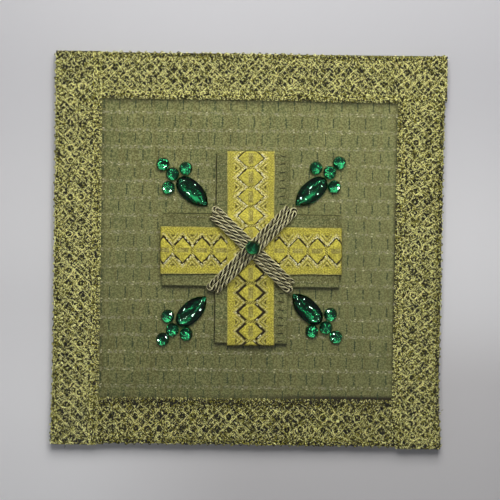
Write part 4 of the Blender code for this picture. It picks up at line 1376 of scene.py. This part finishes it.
def stone_mesh(name, outline, height, crown, foil, seed, materials, holes=()):
    """A flat-backed stone on an outline given by its angle: a crown of rings, facets of foil within,
    and the rims of its sewing holes."""
    random = np.random.default_rng(seed)
    count = NAVETTE_SIDES if holes else ROUND_SIDES
    turns = 2.0 * math.pi * (np.arange(count) + (0.5 if holes else 0.0)) / count
    rim = np.array([outline(turn) for turn in turns])
    rings = [(rim, 0.0), (rim, GIRDLE)]
    rings += [(rim * (long, wide), GIRDLE + rise * (height - GIRDLE)) for long, wide, rise in crown]
    points = [(x, y, level) for ring, level in rings for x, y in ring]
    faces = crown_faces(count, len(rings) - 1)
    outer = len(faces)
    faces += foil_faces(count, len(foil) - 1, len(points))
    inner = len(faces)
    points.append((0.0, 0.0, foil[0][1]))
    for scale, level in foil[1:]:
        jitter = 0.0 if scale > 0.9 else 0.02 if holes else 0.1
        for x, y in rim * scale:
            crumpled = 6.0 if holes and abs(x) > NAVETTE_ENDS_FROM else 1.0
            points.append((x, y, level + random.uniform(-jitter, jitter) * crumpled))
    for x, size, level in holes:
        ring = 2.0 * math.pi * np.arange(13) / 12
        path = np.stack((x + size * np.cos(ring), size * np.sin(ring), np.full(13, level)), -1)
        some, walls = tube(path, 0.17, 6, len(points))
        points.extend(some.tolist())
        faces.extend(walls)
    mesh = bpy.data.meshes.new(name)
    mesh.from_pydata((np.array(points) * MM).tolist(), [], faces)
    for material in materials:
        mesh.materials.append(material)
    slots = [0] * outer
    for face in faces[outer:inner]:
        near_end = min(abs(points[corner][0]) for corner in face) > NAVETTE_ENDS_FROM
        slots.append(2 if holes and not near_end else 1)
    slots += [3] * (len(faces) - inner)
    mesh.polygons.foreach_set("material_index", slots)
    if holes:
        mesh.polygons.foreach_set("use_smooth", [slot in (0, 3) for slot in slots])
        mesh.set_sharp_from_angle(angle=math.radians(30.0))
    mesh.update()
    return mesh


def round_outline(radius):
    return lambda turn: (radius * math.cos(turn), radius * math.sin(turn))


def navette_outline(turn):
    """A long oval with one sharp tip, at turn pi, and one blunt one, at turn 0."""
    half_length, half_width = NAVETTE_LENGTH / 2, NAVETTE_WIDTH / 2
    radius = (half_length ** 2 + half_width ** 2) / (2 * half_width)
    x = half_length * math.cos(turn)
    if x > 0.0:
        y = half_width * max(1.0 - (x / half_length) ** 3.0, 0.0) ** 0.5
    else:
        y = math.sqrt(radius ** 2 - x ** 2) - radius + half_width
    return x, math.copysign(max(y, 0.0), math.sin(turn))


def place_stone(name, mesh, at, heading, node):
    stone = bpy.data.objects.new(name, mesh)
    stone.matrix_world = Matrix.Translation(Vector(at) * MM) @ Matrix.Rotation(math.radians(heading), 4, "Z")
    bpy.context.scene.collection.objects.link(stone)
    show(stone, "green_stone", node)


def build_stones():
    materials = stone_finishes()
    for spray, (name, x, y, heading, rounds) in enumerate(SPRAYS):
        shape = (NAVETTE_HEIGHT, NAVETTE_CROWN, NAVETTE_FOIL, 40 + spray, materials, NAVETTE_HOLES)
        navette = stone_mesh("navette " + name, navette_outline, *shape)
        place_stone("cut_navette_" + name, navette, (x, y, FACE), heading, "navette_" + name)
        places = turned_about(np.array([(*place, FACE) for place in rounds]), heading, (x, y))
        for number, at in enumerate(places.tolist(), 1):
            node = f"stone_{name}_{number}"
            shape = (ROUND_HEIGHT, ROUND_CROWN, ROUND_FOIL, 60 + 10 * spray + number, materials)
            cut = stone_mesh("round " + node, round_outline(ROUND_RADIUS), *shape)
            place_stone("cut_" + node, cut, at, heading + 13.0 * number, node)
    glass, foil, deep, rim = materials
    shape = (CENTRE_HEIGHT, ROUND_CROWN, ROUND_FOIL, 7, (glass, deep, foil, rim))
    centre = stone_mesh("centre stone", round_outline(CENTRE_RADIUS), *shape)
    place_stone("cut_stone_centre", centre, CENTRE_AT, 7.0, "stone_centre")


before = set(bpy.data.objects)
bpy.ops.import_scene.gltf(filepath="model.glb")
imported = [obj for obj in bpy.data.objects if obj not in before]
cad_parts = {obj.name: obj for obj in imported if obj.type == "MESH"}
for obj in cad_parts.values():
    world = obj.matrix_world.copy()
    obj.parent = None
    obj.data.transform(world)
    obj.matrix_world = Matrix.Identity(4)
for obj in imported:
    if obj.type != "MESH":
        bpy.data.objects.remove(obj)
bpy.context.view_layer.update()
add_camera()
add_floor()
add_lights()
build_panel()
build_cross()
build_lace()
build_ribbons()
build_cords()
build_stones()
